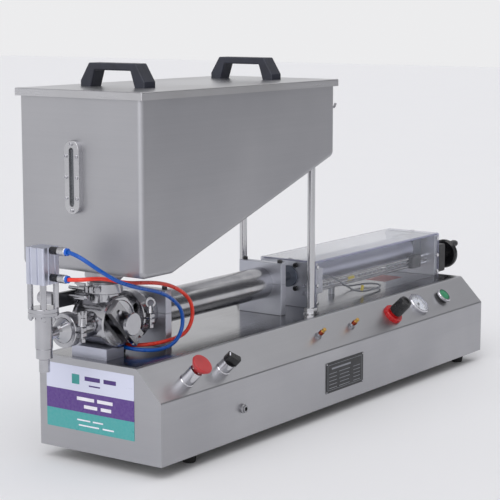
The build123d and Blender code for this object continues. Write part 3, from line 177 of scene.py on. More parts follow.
HOSE_DIAMETER = 6.0
BLUE_ROUTE = [
    (-86, -21, 340), (-87, -36, 337.5), (-84.5, -50, 331), (-77, -61, 321.5), (-63, -67, 311),
    (-46, -69, 301), (-26, -69, 292), (3, -66.5, 282.5), (36, -61.5, 273.5), (68, -56, 265.5),
    (100, -50, 254.5), (129, -44, 240), (148.5, -40.5, 224), (156.5, -38, 207.5), (154.5, -37, 190),
    (143.8, -36, 176.5), (127.6, -36, 170), (111, -36, 168.6), (96, -35.5, 168.5), (79.5, -26, 169.5),
    (70, -10, 171), (70, 8, 172),
]
RED_ROUTE = [
    (-86, -21, 300.5), (-85.3, -35, 301.3), (-78.5, -47, 302.3), (-66.5, -54.3, 302.5),
    (-52, -56.5, 300.5), (-35, -56.5, 296.5), (-14, -56, 290.5), (12, -54, 285), (42, -50, 281),
    (76, -45, 276), (111, -39, 268.5), (147, -33, 256.5), (177, -29, 240.5), (192, -27.5, 225),
    (196, -27, 207), (190, -26.5, 190.5), (176.5, -26, 179.5), (157, -26, 176.3), (134, -26, 175.5),
    (112, -25.5, 175.3), (95.5, -16, 174.5), (86, 0, 173), (86, 16, 172),
]
blue_tube = soft_plastic("blue_polyurethane", "0058b8", "004fa8", 0.3, 400.0, 0.00002)
red_tube = soft_plastic("red_polyurethane", "f5402a", "dc3020", 0.3, 400.0, 0.00002)
for name, node, route, material, length in (
    ("blue_air_hose", "blue_hose", BLUE_ROUTE, blue_tube, 0.450),
    ("red_air_hose", "red_hose", RED_ROUTE, red_tube, 0.482),
):
    piece = hose(name, route, HOSE_DIAMETER, material)
    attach(piece, "frame")
    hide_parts(node)


# ---- Sensor cable under the clear cover --------------------------------------------
# A thin grey cable, clipped to the bracket by the front plate. It lies in a loose
# bight on the deck and goes down through a gland, with a folded yellow paper tag.
CABLE_ROUTE = [
    (576, -14, 214), (594, -15, 213.5), (614, -17, 208), (634, -19, 199), (655, -20, 188),
    (677, -20.5, 177), (700, -21, 169.5), (726, -21, 166), (754, -20.5, 165.6), (780, -18, 165.4),
    (800, -9, 165.6), (808, 6, 165.8), (799, 21, 166), (778, 29, 165.6), (752, 31, 166.5),
    (732, 31.5, 171), (715, 32, 174.5), (699, 32, 174.8),
]
CABLE_DIAMETER = 3.2
grey_cable = soft_plastic("grey_cable_sheath", "7c7f86", "6a6d74", 0.5, 500.0, 0.00003)
sensor_lead = hose("sensor_lead", CABLE_ROUTE, CABLE_DIAMETER, grey_cable)
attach(sensor_lead, "frame")
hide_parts("sensor_cable")


def solid(name, material, body, build):
    """A closed mesh made by build(bm), placed in the frame and riding on a body."""
    bm = bmesh.new()
    build(bm)
    bmesh.ops.recalc_face_normals(bm, faces=bm.faces)
    mesh = bpy.data.meshes.new(name)
    bm.to_mesh(mesh)
    bm.free()
    mesh.materials.append(material)
    piece = bpy.data.objects.new(name, mesh)
    bpy.context.collection.objects.link(piece)
    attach(piece, body)
    return piece


def slab(bm, place, size, bevel=0.0):
    """A block with its edges eased, centred at a placing matrix, sizes in millimetres."""
    scale = Matrix.Diagonal((size[0] * MM, size[1] * MM, size[2] * MM, 1.0))
    made = bmesh.ops.create_cube(bm, size=1.0, matrix=place @ scale)
    if bevel:
        edges = list({edge for vert in made["verts"] for edge in vert.link_edges})
        bmesh.ops.bevel(bm, geom=edges, offset=bevel * MM, segments=2, profile=0.5, affect="EDGES")


yellow_paper = soft_plastic("yellow_tag_paper", "e6d23a", "cdb82a", 0.7, 1500.0, 0.00003)


def tag_shape(bm):
    """Two leaves of a folded paper tag standing on the cable."""
    for turn in (-14, 14):
        leaf = Matrix.Translation(spot(712, -21, 167.9)) @ Matrix.Rotation(math.radians(18), 4, "Y")
        leaf = leaf @ Matrix.Rotation(math.radians(turn), 4, "Z") @ Matrix.Translation((0, 0, 0.0048))
        slab(bm, leaf, (7.0, 0.5, 13.0), 0.15)


cable_tag = solid("cable_tag", yellow_paper, "frame", tag_shape)


# ---- Base ----------------------------------------------------------------------------
# A long box folded from 2.5 mm stainless sheet, brushed lengthways, its front top edge
# folded to a slope for the controls. A polished plate is let into the top as the deck.
def brushed(name, code, roughness, stretch=(6.0, 6.0, 700.0), relief=0.00002, shade="", lift=0.05):
    """Sheet steel with long fine brush lines and faint hand smudges."""
    made = finish(name, paint(code), 1.0, roughness)
    lines = cloud(made, 1.0, stretch, 2.0)
    smudge = cloud(made, 5.0)
    streak = cloud(made, 1.0, tuple(s * 0.12 for s in stretch), 2.0)
    tone = add(made, "Math", {0: span(made, smudge, 0.0, 0.7), 1: span(made, streak, 0.0, 0.2)},
               operation="ADD")
    into(made, "Base Color", between(made, tone.outputs[0], paint(code), paint(shade or code)))
    patchy = span(made, smudge, roughness - 0.05, roughness + 0.05)
    mixed = add(made, "Math", {0: span(made, lines, -lift, lift), 1: patchy}, operation="ADD")
    into(made, "Roughness", mixed.outputs[0])
    rise(made, lines, relief)
    return made


def dress(material, *names):
    """The finish of CAD pieces whose shape stays as it is."""
    for name in names:
        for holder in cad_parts[name].material_slots:
            holder.material = material


base_steel = brushed("brushed_base_sheet", "b7b7ba", 0.36, (5.0, 5.0, 900.0), 0.000008, "adadb1", 0.03)
deck_steel = brushed("polished_deck_plate", "98989b", 0.2, (4.0, 700.0, 4.0), 0.000006, "7f7f80", 0.03)
dull_sheet = brushed("dull_floor_sheet", "8a8a88", 0.5, (5.0, 300.0, 5.0), 0.00003, "777775")
foot_rubber = soft_plastic("black_foot_rubber", "1c1c1d", "121213", 0.72, 1400.0, 0.00012)
dress(base_steel, "base_housing")
dress(deck_steel, "deck_plate")
dress(dull_sheet, "base_floor")
dress(foot_rubber, "rubber_feet")

# ---- End label and rating plate ----------------------------------------------------
# A printed film on the nozzle end of the base, in three plain bands, and a black
# anodised plate riveted to the front. Their print is plain bars with no lettering.
PURPLE_TOP = 112.6
TEAL_TOP = 81.0
LABEL_FACE = -0.5
PRINT_DEPTH = 0.16


def film_bands():
    """Printed film: pale band over a purple one over a teal one."""
    made = finish("printed_label_film", paint("ffffff"), 0.0, 0.32)
    where = add(made, "TexCoord").outputs["Object"]
    height = add(made, "SeparateXYZ", {"Vector": where}).outputs["Z"]
    over_teal = add(made, "Math", {0: height, 1: TEAL_TOP * MM}, operation="GREATER_THAN").outputs[0]
    over_purple = add(made, "Math", {0: height, 1: PURPLE_TOP * MM}, operation="GREATER_THAN").outputs[0]
    lower = between(made, over_teal, paint("43a09f"), paint("523080"))
    bands = between(made, over_purple, lower, paint("cfd2e4"))
    fibre = span(made, cloud(made, 220.0), 0.0, 0.06)
    into(made, "Base Color", between(made, fibre, bands, paint("c9c9d2")))
    into(made, "Roughness", span(made, cloud(made, 60.0), 0.26, 0.42))
    rise(made, cloud(made, 90.0), 0.00002)
    return made


dress(film_bands(), "end_label")
white_print = soft_plastic("white_print", "eceaf2", "dcdae2", 0.4, 600.0, 0.00001)
dark_print = soft_plastic("purple_print", "4a2f78", "3f2868", 0.4, 600.0, 0.00001)
teal_print = soft_plastic("teal_print", "3f9c98", "358a86", 0.4, 600.0, 0.00001)


def bars_on_end(bars):
    """Flat printed bars on the end label: (across, height, width, tall)."""
    def build(bm):
        for across, height, wide, tall in bars:
            slab(bm, Matrix.Translation(spot(LABEL_FACE, across, height)), (PRINT_DEPTH, wide, tall))
    return build


label_mark = solid("label_mark", teal_print, "frame", bars_on_end([(45, 131, 15, 15)]))
label_title = solid("label_title", dark_print, "frame", bars_on_end(
    [(12, 134, 30, 6.5), (-22, 134, 24, 6.5), (8, 123.5, 22, 2.2)]))
label_words = solid("label_words", white_print, "frame", bars_on_end(
    [(26, 102, 34, 5.2), (-12, 102, 30, 5.2), (16, 90.5, 26, 5.2), (-14, 90.5, 20, 5.2),
     (30, 69, 26, 2.2), (2, 69, 20, 2.2), (20, 61, 40, 2.2), (-18, 61, 22, 2.2)]))

plate_black = soft_plastic("black_anodised_plate", "1d1e21", "26272b", 0.36, 800.0, 0.00001)
dress(plate_black, "rating_plate")
plate_low, plate_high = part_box("rating_plate")


def plate_lines(bm):
    """A thin border, one heading bar and five rows of three short bars."""
    face = plate_low[1]
    left, right = plate_low[0], plate_high[0]
    bottom, top = plate_low[2], plate_high[2]
    middle = (left + right) / 2
    depth = 0.12
    line = 0.5
    bar = 1.0

    def printed(x, z, wide, tall):
        slab(bm, Matrix.Translation((x, face, z)), (wide, depth, tall))

    for z in (top - 4.5 * MM, bottom + 4.5 * MM):
        printed(middle, z, 108, line)
    for x in (left + 4.8 * MM, right - 4.8 * MM):
        printed(x, (bottom + top) / 2, line, 43.5)
    printed(middle - 12 * MM, top - 11.5 * MM, 60, 3.0)
    for row in range(5):
        z = top - (19.5 + row * 6.2) * MM
        printed(left + 21 * MM, z, 24, bar)
        printed(left + 57 * MM, z, 34 - 5 * (row % 2), bar)
        printed(right - 21 * MM, z, 22, bar)


plate_grey = soft_plastic("plate_grey_print", "8e9097", "7e8087", 0.4, 600.0, 0.00001)
plate_print = solid("plate_print", plate_grey, "frame", plate_lines)

bright_metal = brushed("bright_turned_steel", "cfcfd2", 0.14, (40.0, 40.0, 400.0), 0.000008, "b8b8bc", 0.03)


def grow(name, tree, material, body, place, **values):
    """A plain mesh from a node tree: its named inputs set, its result placed and fixed."""
    holder = bpy.data.objects.new(name + "_seed", bpy.data.meshes.new(name + "_seed"))
    bpy.context.collection.objects.link(holder)
    work = holder.modifiers.new("grow", "NODES")
    work.node_group = tree
    for item in tree.interface.items_tree:
        if item.item_type == "SOCKET" and item.in_out == "INPUT":
            if item.name == "Material":
                work[item.identifier] = material
            elif item.name in values:
                work[item.identifier] = values[item.name]
    seen = holder.evaluated_get(bpy.context.evaluated_depsgraph_get())
    mesh = bpy.data.meshes.new_from_object(seen)
    mesh.name = name
    mesh.transform(place)
    mesh.materials.clear()
    mesh.materials.append(material)
    bpy.data.objects.remove(holder)
    piece = bpy.data.objects.new(name, mesh)
    bpy.context.collection.objects.link(piece)
    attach(piece, body)
    return piece


def new_tree(name, inputs):
    """An empty geometry tree with named inputs of (kind, value)."""
    tree = bpy.data.node_groups.new(name, "GeometryNodeTree")
    tree.interface.new_socket("Geometry", in_out="OUTPUT", socket_type="NodeSocketGeometry")
    for key, (kind, value) in inputs.items():
        socket = tree.interface.new_socket(key, in_out="INPUT", socket_type="NodeSocket" + kind)
        if value is not None:
            socket.default_value = value
    return tree, tree.nodes.new("NodeGroupInput"), tree.nodes.new("NodeGroupOutput")


def ending(tree, entry, leave, source):
    """Every tree ends in real geometry with its material."""
    real = tree.nodes.new("GeometryNodeRealizeInstances")
    painted = tree.nodes.new("GeometryNodeSetMaterial")
    tree.links.new(source, real.inputs[0])
    tree.links.new(real.outputs[0], painted.inputs["Geometry"])
    tree.links.new(entry.outputs["Material"], painted.inputs["Material"])
    tree.links.new(painted.outputs[0], leave.inputs[0])


def corner_studs():
    """Domed studs at the corners of a rectangle."""
    tree, entry, leave = new_tree("corner_studs", {
        "Wide": ("Float", 0.1), "Tall": ("Float", 0.04), "Stud Radius": ("Float", 0.0015),
        "Flatness": ("Vector", (1.0, 1.0, 0.5)), "Material": ("Material", None)})
    grid = tree.nodes.new("GeometryNodeMeshGrid")
    grid.inputs["Vertices X"].default_value = 2
    grid.inputs["Vertices Y"].default_value = 2
    tree.links.new(entry.outputs["Wide"], grid.inputs["Size X"])
    tree.links.new(entry.outputs["Tall"], grid.inputs["Size Y"])
    dome = tree.nodes.new("GeometryNodeMeshUVSphere")
    dome.inputs["Segments"].default_value = 16
    dome.inputs["Rings"].default_value = 8
    tree.links.new(entry.outputs["Stud Radius"], dome.inputs["Radius"])
    put = tree.nodes.new("GeometryNodeInstanceOnPoints")
    tree.links.new(grid.outputs["Mesh"], put.inputs["Points"])
    tree.links.new(dome.outputs["Mesh"], put.inputs["Instance"])
    tree.links.new(entry.outputs["Flatness"], put.inputs["Scale"])
    ending(tree, entry, leave, put.outputs[0])
    return tree


studs = corner_studs()
plate_middle = Vector((
    (plate_low[0] + plate_high[0]) / 2, plate_low[1], (plate_low[2] + plate_high[2]) / 2))
upright = Matrix.Rotation(math.radians(90), 4, "X")
plate_rivets = grow("plate_rivets", studs, bright_metal, "frame", Matrix.Translation(plate_middle) @ upright,
                    Wide=0.1135, Tall=0.0480, **{"Stud Radius": 0.0014})

# ---- Hopper ----------------------------------------------------------------------------
# A deep bin folded and welded from 2 mm stainless sheet with a sloping floor, its sides
# finely brushed level. A folded lid lies over its rim, with two moulded bridge handles.
hopper_steel = brushed("brushed_hopper_sheet", "b5b5b8", 0.45, (5.0, 5.0, 1000.0), 0.000006, "adadb1", 0.03)
lid_steel = brushed("brushed_lid_sheet", "c5c5c8", 0.33, (5.0, 5.0, 800.0), 0.00001, "b8b7b7", 0.04)
handle_plastic = soft_plastic("blue_black_handle", "23252f", "2b2e3b", 0.42, 1300.0, 0.00005)
dress(hopper_steel, "hopper_body")
dress(lid_steel, "hopper_lid")
dress(handle_plastic, "lid_handles")

# ---- Sight glass --------------------------------------------------------------------
# A tall clear strip in the end of the hopper under a polished frame, held all round by
# small socket screws.
frame_steel = brushed("polished_sight_frame", "c9c9cb", 0.2, (30.0, 30.0, 300.0), 0.00001, "b2b2b5", 0.04)
sight_glass = finish("sight_strip_glass", paint("8e9296"), 0.0, 0.06, Transmission_Weight=0.6, IOR=1.5)
film = span(sight_glass, cloud(sight_glass, 40.0, (1, 1, 0.3)), 0, 1)
into(sight_glass, "Base Color", between(sight_glass, film, paint("767a7f"), paint("a6aab0")))
into(sight_glass, "Roughness", span(sight_glass, cloud(sight_glass, 90.0), 0.04, 0.14))
dress(frame_steel, "sight_frame")
dress(sight_glass, "sight_pane")
dress(bright_metal, "sight_screws")

# ---- Hopper posts --------------------------------------------------------------------
# Two ground stainless rods that carry the raised end of the hopper, with a nut and
# washer where they stand on the deck.
post_steel = brushed("ground_post_steel", "c4c4c6", 0.2, (400.0, 400.0, 6.0), 0.000006, "b0b0b3", 0.04)
dress(post_steel, "hopper_posts")


# ---- Valve ----------------------------------------------------------------------------
# A turned and polished stainless rotary valve: round body, dished end caps, a bar lever
# with a round knob, standing on a pale aluminium block.
def turned_steel(name, code, shade, roughness, axis, centre, rings, anisotropy=0.5, relief=0.000006):
    """Steel turned on a lathe: fine rings about its axis and the fan of light they give."""
    made = finish(name, paint(code), 1.0, roughness, Anisotropic=anisotropy)
    where = add(made, "TexCoord").outputs["Object"]
    out = add(made, "VectorMath", {0: where, 1: tuple(spot(*centre))}, operation="SUBTRACT").outputs[0]
    across = Vector((1.0, 1.0, 1.0)) - Vector(tuple(abs(a) for a in axis))
    flat = add(made, "VectorMath", {0: out, 1: tuple(across)}, operation="MULTIPLY").outputs[0]
    reach = add(made, "VectorMath", {0: flat}, operation="LENGTH").outputs["Value"]
    along = add(made, "VectorMath", {0: out, 1: axis}, operation="DOT_PRODUCT").outputs["Value"]
    ring = add(made, "CombineXYZ", {"X": reach, "Y": along}).outputs[0]
    placed = add(made, "Mapping", {"Vector": ring, "Scale": (rings, rings, 1.0)}).outputs[0]
    marks = add(made, "TexNoise", {"Vector": placed, "Scale": 1.0, "Detail": 2.0}).outputs["Fac"]
    smudge = cloud(made, 30.0)
    into(made, "Base Color", between(made, span(made, smudge, 0.0, 1.0), paint(code), paint(shade)))
    patchy = span(made, smudge, roughness - 0.02, roughness + 0.02)
    total = add(made, "Math", {0: span(made, marks, -0.03, 0.03), 1: patchy}, operation="ADD")
    into(made, "Roughness", total.outputs[0])
    around = add(made, "VectorMath", {0: out, 1: axis}, operation="CROSS_PRODUCT").outputs[0]
    world = add(made, "VectorTransform", {"Vector": around}, vector_type="VECTOR", convert_from="OBJECT",
                convert_to="WORLD")
    into(made, "Tangent", world.outputs[0])
    rise(made, marks, relief)
    return made


def panel_metal(name, code, shade, roughness, relief=0.00003):
    """Milled or sawn aluminium with a soft even grain."""
    made = finish(name, paint(code), 0.85, roughness)
    fine = cloud(made, 1.0, (260.0, 260.0, 900.0))
    into(made, "Base Color", between(made, span(made, cloud(made, 16.0), 0, 1), paint(code), paint(shade)))
    into(made, "Roughness", span(made, fine, roughness - 0.06, roughness + 0.08))
    rise(made, fine, relief)
    return made


VALVE_AXIS = (50.0, 28.3, 214.6)
valve_steel = turned_steel("turned_valve_steel", "bdbdc0", "b4b4b8", 0.17, (0, 1, 0), VALVE_AXIS, 900.0, 0.35)
lever_steel = brushed("ground_lever_bar", "aeaeb0", 0.22, (300.0, 20.0, 300.0), 0.00001, "9a9a9d", 0.04)
support_block = panel_metal("pale_support_block", "c3c5d2", "b6b8c5", 0.38)
dress(valve_steel, "valve_body", "valve_caps", "valve_spool", "lever_knob_and_pins")
dress(lever_steel, "valve_lever")
dress(support_block, "valve_support")


def actuator_finish():
    """A dark painted plate carrying a bright plated barrel and finger."""
    made = finish("rear_actuator_finish", paint("c9c9cc"), 1.0, 0.2)
    across = add(made, "SeparateXYZ", {"Vector": add(made, "TexCoord").outputs["Object"]}).outputs["Y"]
    past_front = add(made, "Math", {0: across, 1: spot(0, 66.9, 0).y}, operation="GREATER_THAN").outputs[0]
    before_back = add(made, "Math", {0: across, 1: spot(0, 73.05, 0).y}, operation="LESS_THAN").outputs[0]
    plate = add(made, "Math", {0: past_front, 1: before_back}, operation="MULTIPLY").outputs[0]
    bright = between(made, span(made, cloud(made, 60.0), 0, 1), paint("c6c6ca"), paint("b4b4b9"))
    into(made, "Base Color", between(made, plate, bright, paint("2b2c30")))
    into(made, "Metallic", span(made, plate, 1.0, 0.0, 0.0, 1.0))
    into(made, "Roughness", span(made, cloud(made, 120.0), 0.16, 0.26))
    rise(made, cloud(made, 400.0), 0.000005)
    return made


dress(actuator_finish(), "rear_actuator")

# ---- Hygienic clamps -----------------------------------------------------------------
# Cast stainless clamp rings, tumbled and polished, hold the hopper outlet, the nozzle
# branch and the metering cylinder to the valve. Swing bolts with wing nuts, and one with a
# ring nut, draw them tight.
cast_steel = finish("polished_cast_clamp", paint("b2b2b4"), 1.0, 0.24)
into(cast_steel, "Base Color", between(cast_steel, span(cast_steel, cloud(cast_steel, 60.0), 0, 1),
                                       paint("bcbcbf"), paint("adadb1")))
into(cast_steel, "Roughness", span(cast_steel, cloud(cast_steel, 200.0), 0.18, 0.25))
rise(cast_steel, cloud(cast_steel, 260.0), 0.000006)
dress(cast_steel, "clamp_rings", "clamp_bolts_and_wing_nuts")

# ---- Nozzle ----------------------------------------------------------------------------
# A compact square air cylinder of clear-anodised aluminium lifts the stem of a turned
# stainless nozzle; four rods with dome nuts hold it over the nozzle's double flange.
NOZZLE_AXIS = (-86.0, 28.3, 0.0)
nozzle_steel = turned_steel(
    "turned_nozzle_steel", "c4c4c8", "b0b0b4", 0.16, (0, 0, 1), NOZZLE_AXIS, 900.0, 0.3)
anodised = panel_metal("clear_anodised_profile", "cdd0dd", "bfc2d0", 0.34, 0.00001)
dress(nozzle_steel, "nozzle_flange_and_rods", "nozzle_tube", "nozzle_tip", "nozzle_stem")
dress(anodised, "nozzle_cylinder")


PLATED_FROM = -4.2                   # across the base, where the black body ends
RELEASE_RING_FROM = -17.4


def fitting_finish():
    """Push-in fittings: black body, nickel-plated nose, blue release ring."""
    made = finish("push_in_fitting", paint("1b1c20"), 0.0, 0.3)
    where = add(made, "TexCoord").outputs["Object"]
    across = add(made, "SeparateXYZ", {"Vector": where}).outputs["Y"]
    nose_from = spot(0, PLATED_FROM, 0).y
    ring_from = spot(0, RELEASE_RING_FROM, 0).y
    nose = add(made, "Math", {0: across, 1: nose_from}, operation="LESS_THAN").outputs[0]
    ring = add(made, "Math", {0: across, 1: ring_from}, operation="LESS_THAN").outputs[0]
    body = between(made, nose, paint("1b1c20"), paint("c9c9cc"))
    clouded = between(made, span(made, cloud(made, 150.0), 0, 0.15), body, paint("404045"))
    into(made, "Base Color", between(made, ring, clouded, paint("1560c8")))
    plated = add(made, "Math", {0: nose, 1: ring}, operation="SUBTRACT").outputs[0]
    into(made, "Metallic", plated)
    into(made, "Roughness", span(made, cloud(made, 300.0), 0.2, 0.36))
    rise(made, cloud(made, 700.0), 0.00002)
    return made


dress(fitting_finish(), "push_in_fittings")

# ---- Metering cylinder ----------------------------------------------------------------
# A polished stainless tube in two split aluminium blocks, with a turned dome at the
# valve end. The piston in it has white sealing rings and a hard-chromed rod.
PISTON_AXIS = (0.0, 28.3, 214.6)
tube_steel = turned_steel("honed_cylinder_tube", "c2c2c4", "adadb0", 0.2, (1, 0, 0), PISTON_AXIS, 700.0, 0.4)
block_metal = panel_metal("milled_block_aluminium", "c6c8d0", "b6b8c2", 0.36)
hard_chrome = turned_steel(
    "hard_chrome_rod", "dcdcde", "cfcfd3", 0.08, (1, 0, 0), PISTON_AXIS, 500.0, 0.2, 0.000003)
white_seal = soft_plastic("white_sealing_ring", "e9e8e2", "dddcd5", 0.4)
dress(tube_steel, "product_cylinder", "cylinder_front_cap")
dress(block_metal, "clamp_blocks", "end_plates")
dress(hard_chrome, "piston_rod", "guide_rods")
dress(white_seal, "piston_seals")

# ---- Air cylinder under the clear cover -------------------------------------------------
# A clear-anodised air barrel between slate-grey end caps, guide rods and a lead screw
# that sets the stroke sensor, all seen through a folded 3 mm acrylic cover.
barrel_metal = panel_metal("lavender_anodised_barrel", "c9ccdc", "bbbed0", 0.42, 0.000008)
slate_cap = soft_plastic("slate_cylinder_cap", "5b6270", "525966", 0.4, 700.0, 0.00004)
black_oxide = soft_plastic("black_oxide_screw", "26272a", "1a1b1d", 0.34, 500.0, 0.00003)
carriage_plastic = soft_plastic("black_carriage", "2c2e34", "22242a", 0.45)
dress(barrel_metal, "air_barrel")
dress(slate_cap, "air_cylinder_caps")
dress(black_oxide, "cap_screws")
dress(carriage_plastic, "sensor_carriage")
dress(block_metal, "sensor_bracket")
dress(bright_metal, "cover_screws")


def thread_finish():
    """Rolled trapezoidal thread on the lead screw, its grooves painted darker as painted shade."""
    made = finish("rolled_lead_thread", paint("b9bac0"), 1.0, 0.24)
    where = add(made, "TexCoord").outputs["Object"]
    turns = add(made, "Mapping", {"Vector": where, "Scale": (314.0, 40.0, 40.0)}).outputs[0]
    groove_shade_and_relief = add(made, "TexWave", {"Vector": turns, "Scale": 1.0, "Distortion": 0.0}, bands_direction="X")
    # The thread's grooves are painted dark between pale crests, as painted shade; the same bands also give
    # the real relief.
    into(made, "Base Color", between(made, groove_shade_and_relief.outputs["Fac"], paint("8f9096"), paint("c6c7cc")))
    into(made, "Roughness", span(made, cloud(made, 200.0), 0.18, 0.32))
    rise(made, groove_shade_and_relief.outputs["Fac"], 0.0003)
    return made


dress(thread_finish(), "lead_screw")


SCREW_AXIS = (-5.0, 193.5)           # across the base, and height


def collar(bm, start, end, radius, inner):
    """A short tube about the lead screw's axis."""
    rows = [(start, inner), (start, radius), (end, radius), (end, inner)]
    steps = 24
    loops = []
    for x, r in rows:
        loop = []
        for index in range(steps):
            angle = 2 * math.pi * index / steps
            place = spot(x, SCREW_AXIS[0] + r * math.cos(angle), SCREW_AXIS[1] + r * math.sin(angle))
            loop.append(bm.verts.new(place))
        loops.append(loop)
    for one, two in zip(loops, loops[1:] + loops[:1]):
        for index in range(steps):
            after = (index + 1) % steps
            bm.faces.new((one[index], one[after], two[after], two[index]))


yellow_band = solid("yellow_sensor_band", yellow_paper, "wheel", lambda bm: collar(bm, 688, 709, 2.75, 2.1))
deck_film = solid("red_deck_film", soft_plastic("red_deck_film", "b0483f", "9c3c36", 0.5), "frame",
                  lambda bm: slab(bm, Matrix.Translation(spot(891, 37.5, 161.4)), (66.0, 44.0, 0.16)))

cover_low, cover_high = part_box("acrylic_cover")
COVER_SHEET = 0.0032                 # just over the sheet's own thickness
COVER_RIM = 0.0015


def clear_sheet():
    """Clear acrylic: faint haze on the faces, bluish where light gathers at its edges, and a painted sheen
    that makes the top paler and less clear.
    """
    made = finish("clear_acrylic", paint("c8ccd8"), 0.0, 0.07, IOR=1.49)
    where = add(made, "TexCoord").outputs["Object"]
    parts = add(made, "SeparateXYZ", {"Vector": where})

    def math_of(operation, first, second):
        return add(made, "Math", {0: first, 1: second}, operation=operation).outputs[0]

    near = math_of("LESS_THAN", parts.outputs["Y"], cover_low[1] + COVER_SHEET)
    far = math_of("GREATER_THAN", parts.outputs["Y"], cover_high[1] - COVER_SHEET)
    top = math_of("GREATER_THAN", parts.outputs["Z"], cover_high[2] - COVER_SHEET)
    fold = math_of("MULTIPLY", math_of("ADD", near, far), top)
    first = math_of("LESS_THAN", parts.outputs["X"], cover_low[0] + COVER_RIM)
    last = math_of("GREATER_THAN", parts.outputs["X"], cover_high[0] - COVER_RIM)
    edge = math_of("MAXIMUM", math_of("ADD", first, last), fold)
    haze = span(made, cloud(made, 14.0), 0.0, 1.0)
    face = between(made, haze, paint("cfd1d9"), paint("dfe1e8"))
    into(made, "Base Color", between(made, edge, face, paint("9a9cb8")))
    film = span(made, haze, 0.08, 0.11, 0.0, 1.0)
    # The top sheet is made paler and less clear than the sides, as a painted sheen of the light from above;
    # the faint haze covers all faces.
    haze_and_top_sheen = math_of("ADD", film, math_of("MULTIPLY", top, 0.42))
    into(made, "Alpha", math_of("MAXIMUM", haze_and_top_sheen, math_of("MULTIPLY", edge, 0.5)))
    into(made, "Roughness", span(made, cloud(made, 50.0), 0.05, 0.12))
    return made


dress(clear_sheet(), "acrylic_cover")

# ---- Stroke counter and handwheel -----------------------------------------------------
# A black moulded revolution counter on the end plate, and a glossy black handwheel with
# a turning grip, which winds the lead screw.
counter_plastic = soft_plastic("counter_plastic", "3a3a3c", "303032", 0.5, 900.0, 0.00008)
wheel_gloss = soft_plastic("glossy_phenolic_wheel", "0b0b0d", "111114", 0.2, 300.0, 0.00002)
dress(counter_plastic, "counter_housing", "crank_grip")
dress(wheel_gloss, "handwheel")

# ---- Control panel ---------------------------------------------------------------------
# Ordinary 22 mm operators on the slope: a red stop mushroom and a black selector bar on
# chromed bodies, and a green start button in a chromed ring on a black body.
RUN, RISE = 45.3, 46.1               # the slope's depth and height
SLOPE = math.hypot(RUN, RISE)
PANEL_FOOT = (-118.0, 115.3)         # across the base, and height
SELECTOR = (175.0, 25.0)             # along the base, and up the slope
GAUGE_PLACE = (790.0, 33.0)
SPEED_PLACES = (450.0, 555.0)
SPEED_UP = 31.0
START_SIDE = 600.0                   # operator bodies: what stands past this is the start's
REGULATOR_SIDE = 640.0               # air fittings: what stands past this is the regulator's


def on_panel(along, up, height=0.0):
    """A placing matrix on the sloping panel; local Z stands out of it."""
    across = Vector((1, 0, 0))
    rising = Vector((0, RUN / SLOPE, RISE / SLOPE))
    outward = across.cross(rising)
    corner = spot(along, *PANEL_FOOT) + rising * up * MM + outward * height * MM
    return Matrix((
        (across.x, rising.x, outward.x, corner.x), (across.y, rising.y, outward.y, corner.y),
        (across.z, rising.z, outward.z, corner.z), (0, 0, 0, 1)))


def operator_bodies():
    """Chromed bodies; the start button's is black below its ring."""
    made = finish("operator_bodies", paint("17181a"), 0.0, 0.35)
    where = add(made, "TexCoord").outputs["Object"]
    along = add(made, "SeparateXYZ", {"Vector": where}).outputs["X"]
    outward = on_panel(0, 0).col[2].to_3d()
    level = on_panel(0, 0).translation.dot(outward)
    height = add(made, "VectorMath", {0: where, 1: tuple(outward)}, operation="DOT_PRODUCT").outputs["Value"]
    start_from = spot(START_SIDE, 0, 0).x
    start = add(made, "Math", {0: along, 1: start_from}, operation="GREATER_THAN").outputs[0]
    low = add(made, "Math", {0: height, 1: level + 5.2 * MM}, operation="LESS_THAN").outputs[0]
    dull = add(made, "Math", {0: start, 1: low}, operation="MULTIPLY").outputs[0]
    chrome = span(made, dull, 1.0, 0.0, 0.0, 1.0)
    black = between(made, span(made, cloud(made, 80.0), 0, 1), paint("141517"), paint("1f2022"))
    into(made, "Base Color", between(made, chrome, black, paint("d4d4d8")))
    into(made, "Metallic", chrome)
    into(made, "Roughness", span(made, cloud(made, 160.0), 0.12, 0.2))
    rise(made, cloud(made, 800.0), 0.000004)
    return made


dress(operator_bodies(), "button_bodies")
stop_red = soft_plastic("stop_button_red", "bd3436", "a92c30", 0.36, 500.0, 0.00003)
selector_black = soft_plastic("selector_black", "141416", "1d1d20", 0.3, 700.0, 0.00003)
start_green = soft_plastic("start_button_green", "1c8a5c", "187a50", 0.3, 600.0, 0.00005)
dress(stop_red, "estop_button")
dress(selector_black, "selector_knob")
dress(start_green, "start_button")
SELECTOR_REST = Matrix.Rotation(math.radians(135), 4, "Z")
selector_mark = solid("selector_mark", white_print, "selector", lambda bm: slab(
    bm, on_panel(*SELECTOR, 32.3) @ SELECTOR_REST @ Matrix.Translation((0.0085, 0, 0)), (2.2, 7.0, 0.3), 0.1))

# ---- Pressure gauge ---------------------------------------------------------------------
# A 40 mm panel gauge: pressed chrome rim, white enamelled dial with printed ticks, a
# black pointer and a low domed window.
RIM_AXIS = (GAUGE_PLACE[0], -95.0, 140.0)
rim_chrome = turned_steel("gauge_rim_chrome", "d2d2d6", "c2c2c7", 0.12, (0, 0, 1), RIM_AXIS, 300.0, 0.0)
dress(rim_chrome, "gauge_body")
dress(selector_black, "gauge_needle")
dial_enamel = soft_plastic("white_dial_enamel", "e9ebf0", "dfe1e8", 0.35, 500.0, 0.00001)
GAUGE = on_panel(*GAUGE_PLACE)


